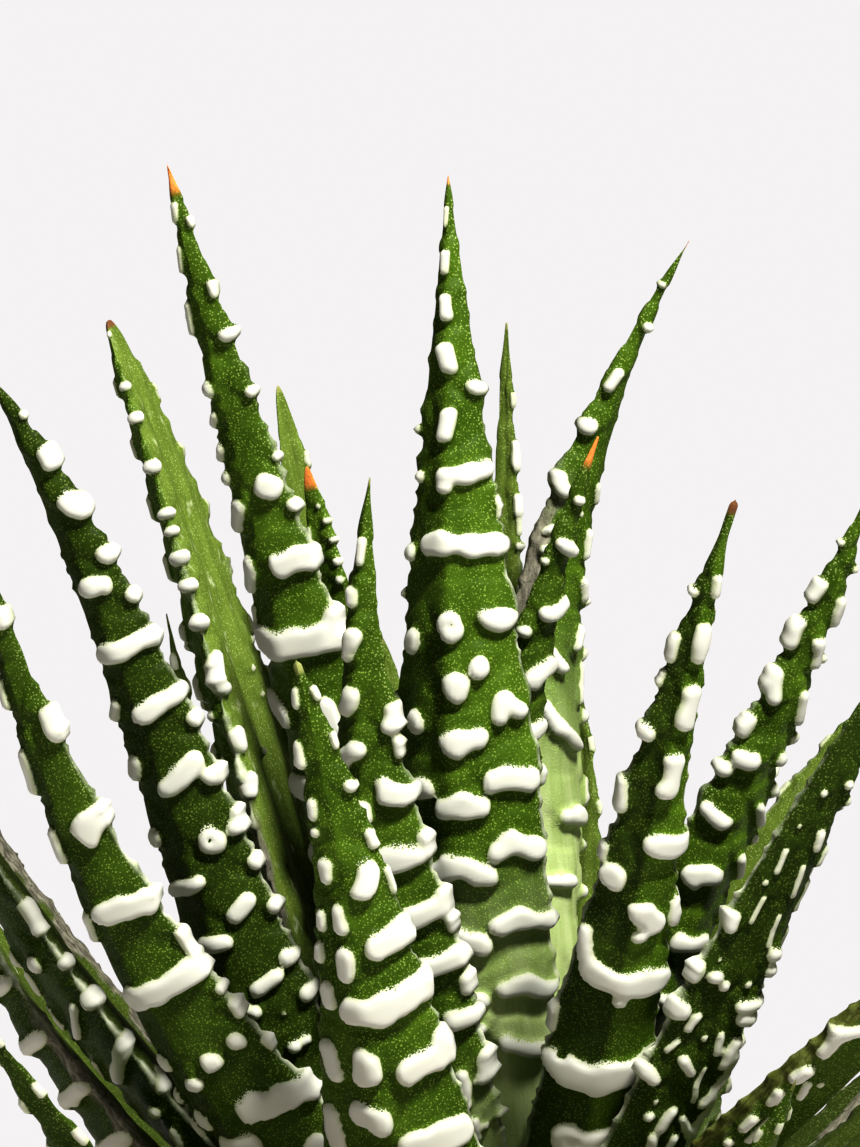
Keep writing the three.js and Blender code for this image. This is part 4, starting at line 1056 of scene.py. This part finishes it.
class Nodes:
    """Short calls for building a material's nodes."""

    def __init__(self, name):
        self.material = bpy.data.materials.new(name)
        self.material.use_nodes = True
        self.tree = self.material.node_tree
        self.shader = self.tree.nodes["Principled BSDF"]

    def add(self, kind, **settings):
        node = self.tree.nodes.new(kind)
        for key, value in settings.items():
            setattr(node, key, value)
        return node

    def feed(self, socket, value):
        """Links a node's output to a socket, or sets the socket to a number or a colour."""
        if isinstance(value, bpy.types.NodeSocket):
            self.tree.links.new(value, socket)
        elif hasattr(socket.default_value, "__len__") and not hasattr(value, "__len__"):
            socket.default_value = [value] * len(socket.default_value)
        elif hasattr(value, "__len__") and len(value) == 3 and len(socket.default_value) == 4:
            socket.default_value = (*value, 1)
        else:
            socket.default_value = value

    def place(self):
        return self.add("ShaderNodeTexCoord").outputs["Object"]

    def value(self, name):
        """A value that the mesh carries at its points."""
        return self.add("ShaderNodeAttribute", attribute_name=name).outputs["Fac"]

    def noise(self, size_mm, detail=3, rough=0.55, place=None):
        node = self.add("ShaderNodeTexNoise")
        self.feed(node.inputs["Vector"], place or self.place())
        node.inputs["Scale"].default_value = 1 / (size_mm * MM)
        node.inputs["Detail"].default_value = detail
        node.inputs["Roughness"].default_value = rough
        return node.outputs["Fac"]

    def streaks(self, size_mm, stretch, detail=3):
        """Noise drawn out along a leaf's skin."""
        place = self.add("ShaderNodeCombineXYZ")
        self.feed(place.inputs["X"], self.value("across"))
        self.feed(place.inputs["Y"], self.maths("DIVIDE", self.value("down"), stretch))
        return self.noise(size_mm, detail, 0.6, place.outputs[0])

    def cells(self, size_mm):
        """Distance from the middle of the nearest of many small cells."""
        node = self.add("ShaderNodeTexVoronoi")
        self.feed(node.inputs["Vector"], self.place())
        node.inputs["Scale"].default_value = 1 / (size_mm * MM)
        node.inputs["Randomness"].default_value = 1
        return node.outputs["Distance"]

    def maths(self, kind, a, b):
        node = self.add("ShaderNodeMath", operation=kind)
        self.feed(node.inputs[0], a)
        self.feed(node.inputs[1], b)
        return node.outputs[0]

    def times(self, a, b):
        return self.maths("MULTIPLY", a, b)

    def plus(self, a, b):
        return self.maths("ADD", a, b)

    def ramp(self, value, low, high, out_low=0.0, out_high=1.0):
        """A soft step of a value from one range to another."""
        node = self.add("ShaderNodeMapRange", interpolation_type="SMOOTHSTEP")
        names = ("Value", "From Min", "From Max", "To Min", "To Max")
        for name, number in zip(names, (value, low, high, out_low, out_high)):
            self.feed(node.inputs[name], number)
        return node.outputs["Result"]

    def mix(self, share, a, b):
        node = self.add("ShaderNodeMix", data_type="RGBA")
        self.feed(node.inputs[0], share)
        self.feed(node.inputs[6], a)
        self.feed(node.inputs[7], b)
        return node.outputs[2]

    def bump(self, height, distance_mm, strength=1.0, normal=None):
        node = self.add("ShaderNodeBump")
        node.inputs["Strength"].default_value = strength
        node.inputs["Distance"].default_value = distance_mm * MM
        self.feed(node.inputs["Height"], height)
        if normal:
            self.feed(node.inputs["Normal"], normal)
        return node.outputs["Normal"]

    def surface(self, colour, roughness, sheen, normal):
        """Sets the shader's colour, roughness, specular level and normal, and gives the material."""
        names = ("Base Color", "Roughness", "Specular IOR Level", "Normal")
        for name, value in zip(names, (colour, roughness, sheen, normal)):
            self.feed(self.shader.inputs[name], value)
        return self.material


def flecks(n, deep_and_shade):
    """Pale flecks within the skin, in drifts, and fainter on deep green and on painted shade."""
    dots = n.ramp(n.cells(0.25), n.ramp(n.value("edge"), 0.1, 0.9, 0.4, 0.45), 0.1)
    drifts = n.ramp(n.noise(1.6, 2), 0.3, 0.55, 0.4, 1.0)
    return n.times(n.times(dots, drifts), n.ramp(deep_and_shade, 0, 1, 0.74, 0.3))


def back_green(n, deep_and_shade, speck, fine):
    """Green of the keeled back, in two blotchy tones."""
    green = n.mix(n.ramp(n.noise(6, 3), 0.35, 0.7), *GREENS)
    # Deep tone and painted shade: the green is darkened towards the deepest green.
    green = n.mix(deep_and_shade, green, DEEPEST_AND_SHADED_GREEN)
    green = n.mix(n.times(fine, n.ramp(deep_and_shade, 0, 1, 0.17, 0.04)), green, GRAIN_GREEN)
    return n.mix(speck, green, n.mix(n.value("edge"), *FLECK_GREENS))


def face_green(n, deep_and_shade, speck, fine):
    """Lighter green of the inner face, with lengthwise lines and whitish flecks."""
    green = n.mix(n.ramp(n.streaks(0.8, 9), 0.35, 0.65), *FACE_GREENS)
    # Deep tone and painted shade on the inner face as well.
    green = n.mix(n.times(deep_and_shade, 0.93), green, FACE_DEEPEST_AND_SHADED)
    green = n.mix(n.times(fine, n.ramp(deep_and_shade, 0, 1, 0.2, 0.08)), green, FACE_GRAIN)
    green = n.mix(n.times(speck, 0.8), green, FACE_FLECK)
    whitish = n.times(n.ramp(n.streaks(1.1, 3), 0.58, 0.72), n.value("rough_face"))
    return n.mix(whitish, green, FACE_WHITISH)


def dried_skin(n):
    """Dried skin in its tone, with lengthwise streaks and dark spots."""
    tone = n.value("dry_tone")
    grey = n.mix(n.ramp(tone, 0, 0.5), DRIED_BLACK, DRIED_GREY)
    brown = n.ramp(tone, 0.5, 1)
    streaks = n.ramp(n.streaks(0.35, 4, 5), 0.4, 0.68, 0, 0.8)
    dried = n.mix(streaks, n.mix(brown, grey, DRIED_OLIVE), n.mix(brown, *DRIED_STREAKS))
    return n.mix(n.ramp(n.noise(0.5, 4, 0.7), 0.56, 0.68, 0, 0.8), dried, DRIED_SPOTS)


def skin_green(n, speck):
    """All of the skin but its tubercles and its tip."""
    # The leaf's deep tone with its painted shade, which also fades the flecks and the grain.
    deep_and_shade = n.value("deep_and_shade")
    fine = n.ramp(n.noise(0.14, 2, 0.6), 0.35, 0.65)
    green = n.mix(n.value("inner"), back_green(n, deep_and_shade, speck, fine), face_green(n, deep_and_shade, speck, fine))
    pale = n.mix(n.ramp(n.streaks(1.6, 6), 0.3, 0.7), *BASE_GREENS)
    green = n.mix(n.times(n.value("low"), 0.88), green, pale)
    rim = n.times(n.value("rim"), n.ramp(n.noise(2.2, 2), 0.35, 0.6, 0.3, 0.95))
    return n.mix(n.value("dry"), n.mix(rim, green, RIM_PALE), dried_skin(n))


def fuzzy_level(n):
    """How far inside a tubercle a point lies, with a fuzzy edge that is roughest where it faces the tip."""
    fuzz = n.maths("SUBTRACT", 0.5, n.times(n.cells(0.16), 1.25))
    patches = n.times(n.ramp(n.value("upper"), 0.3, 1), n.ramp(n.noise(4, 2), 0.46, 0.7, 0.12, 1))
    return n.plus(n.value("spot"), n.times(fuzz, n.plus(0.03, n.times(patches, 0.55))))


def tubercle_white(n, level):
    """White of the tubercles, duller at their edge and creamy in patches."""
    cream = n.mix(n.ramp(level, 0.0, 0.3), SPOT_EDGE, SPOT_WHITE)
    return n.mix(n.ramp(n.noise(2.5, 3), 0.35, 0.75, 0, 0.3), cream, SPOT_CREAM)


def tip_colour(n):
    """A dry tip in its tone, from pale green over brown to orange."""
    tone = n.value("tone")
    dead = n.mix(n.ramp(tone, 0, 0.5), *TIP_TONES)
    return n.mix(n.ramp(tone, 0.6, 1), dead, n.mix(n.noise(0.5, 3), *TIP_ORANGES))


def leaf_relief(n, level, white, speck):
    """Fine relief: grain, flecks and dried streaks, and the step up to each tubercle."""
    grain = n.times(n.noise(0.2, 2), n.ramp(white, 0, 1, 1, 0.08))
    relief = n.plus(grain, n.times(speck, n.ramp(white, 0, 1, 0.7, 0)))
    relief = n.plus(relief, n.times(n.streaks(0.4, 4, 4), n.times(n.value("dry"), 4)))
    return n.bump(n.ramp(level, -0.12, 0.14), 0.1, 0.7, n.bump(relief, 0.05, 0.7))


def leaf_material():
    """Deep green flecked skin, white tubercles, a lighter inner face, a pale base and a dry tip."""
    n = Nodes("leaf_skin")
    speck = flecks(n, n.value("deep_and_shade"))
    level = fuzzy_level(n)
    white = n.ramp(level, -0.04, 0.06)
    colour = n.mix(white, skin_green(n, speck), tubercle_white(n, level))
    colour = n.mix(n.value("tip"), colour, tip_colour(n))
    roughness = n.ramp(white, 0, 1, *LEAF_ROUGH)
    return n.surface(colour, roughness, LEAF_SHEEN, leaf_relief(n, level, white, speck))


def clay_material():
    """Unglazed fired clay: warm, dusty, with faint darker and paler patches and fine grains."""
    n = Nodes("clay")
    clay = n.mix(n.ramp(n.noise(22, 4, 0.6), 0.3, 0.7), *CLAYS)
    clay = n.mix(n.ramp(n.noise(6, 5, 0.7), 0.52, 0.75, 0, 0.35), clay, CLAY_DUST)
    clay = n.mix(n.ramp(n.noise(0.5, 2), 0.6, 0.75, 0, 0.5), clay, CLAY_GRAIN)
    grain = n.plus(n.noise(0.4, 3), n.times(n.noise(2.5, 3), 0.8))
    return n.surface(clay, *CLAY_GLOSS, n.bump(grain, 0.12, 0.5))


def soil_material():
    """Dark moist potting soil with paler crumbs."""
    n = Nodes("soil_earth")
    earth = n.mix(n.ramp(n.noise(2.2, 4, 0.65), 0.35, 0.7), *EARTHS)
    earth = n.mix(n.ramp(n.cells(0.9), 0.25, 0.1, 0, 0.5), earth, CRUMB)
    relief = n.plus(n.noise(0.7, 4, 0.7), n.times(n.cells(1.3), 0.8))
    return n.surface(earth, *SOIL_GLOSS, n.bump(relief, 0.5, 0.9))


def stem_material():
    """Pale fleshy stem."""
    n = Nodes("stem_flesh")
    flesh = n.mix(n.ramp(n.noise(2, 3), 0.35, 0.7), *STEM_GREENS)
    return n.surface(flesh, *STEM_GLOSS, n.bump(n.noise(0.5, 3), 0.1, 0.5))


def key_light():
    """A soft studio light from the upper right."""
    key = bpy.data.lights.new("key", "AREA")
    key.shape = "DISK"
    key.size = KEY_SIZE
    key.energy = KEY_WATTS
    key.color = KEY_COLOUR
    aimed(key, KEY_PLACE, KEY_TARGET)


def surround():
    """A pale backdrop, and a weaker fill of the shadows."""
    world = bpy.data.worlds.new("studio")
    bpy.context.scene.world = world
    world.use_nodes = True
    nodes, links = world.node_tree.nodes, world.node_tree.links
    seen = nodes.new("ShaderNodeBackground")
    seen.inputs["Color"].default_value = BACKDROP
    around = nodes["Background"]
    around.inputs["Color"].default_value = FILL_COLOUR
    around.inputs["Strength"].default_value = FILL_STRENGTH
    path = nodes.new("ShaderNodeLightPath")
    mix = nodes.new("ShaderNodeMixShader")
    links.new(path.outputs["Is Camera Ray"], mix.inputs[0])
    links.new(around.outputs[0], mix.inputs[1])
    links.new(seen.outputs[0], mix.inputs[2])
    links.new(mix.outputs[0], nodes["World Output"].inputs["Surface"])


def aimed(data, place, target):
    """An object for a light or a camera at a place, looking at a target, in millimetres."""
    thing = bpy.data.objects.new(data.name, data)
    thing.location = Vector(place) * MM
    thing.rotation_euler = (Vector(target) - Vector(place)).to_track_quat("-Z", "Y").to_euler()
    bpy.context.scene.collection.objects.link(thing)
    return thing


def photo_camera():
    """The photo's view."""
    camera = bpy.data.cameras.new("photo_view")
    camera.sensor_width = SENSOR_MM
    camera.lens = SENSOR_MM * CAMERA_DISTANCE / (PHOTO_SIZE[1] * PHOTO_MM_PER_PIXEL)
    camera.clip_start = 0.01
    rise = math.radians(CAMERA_RISE_DEG)
    aim = Vector(CAMERA_AIM)
    place = aim + CAMERA_DISTANCE * Vector((0, -math.cos(rise), math.sin(rise)))
    bpy.context.scene.camera = aimed(camera, place, aim)


def floor():
    """A plain pale floor."""
    turn = np.linspace(0, 2 * math.pi, FLOOR_SIDES, endpoint=False)
    rim = np.stack([FLOOR_R * np.cos(turn), FLOOR_R * np.sin(turn), 0 * turn], -1)
    thing = mesh_object("floor", rim, np.arange(FLOOR_SIDES)[None, :])
    n = Nodes("floor")
    n.feed(n.shader.inputs["Base Color"], FLOOR_COLOUR)
    n.feed(n.shader.inputs["Roughness"], FLOOR_ROUGH)
    thing.data.materials.append(n.material)


bpy.context.scene.view_settings.view_transform = "Standard"
bpy.context.scene.view_settings.gamma = VIEW_GAMMA
photo_camera()
key_light()
surround()
floor()
pot_piece()
soil_piece()
stem_piece()
leaf_skin = leaf_material()
for number, row in enumerate(LEAVES):
    leaf_piece(row, number, leaf_skin)
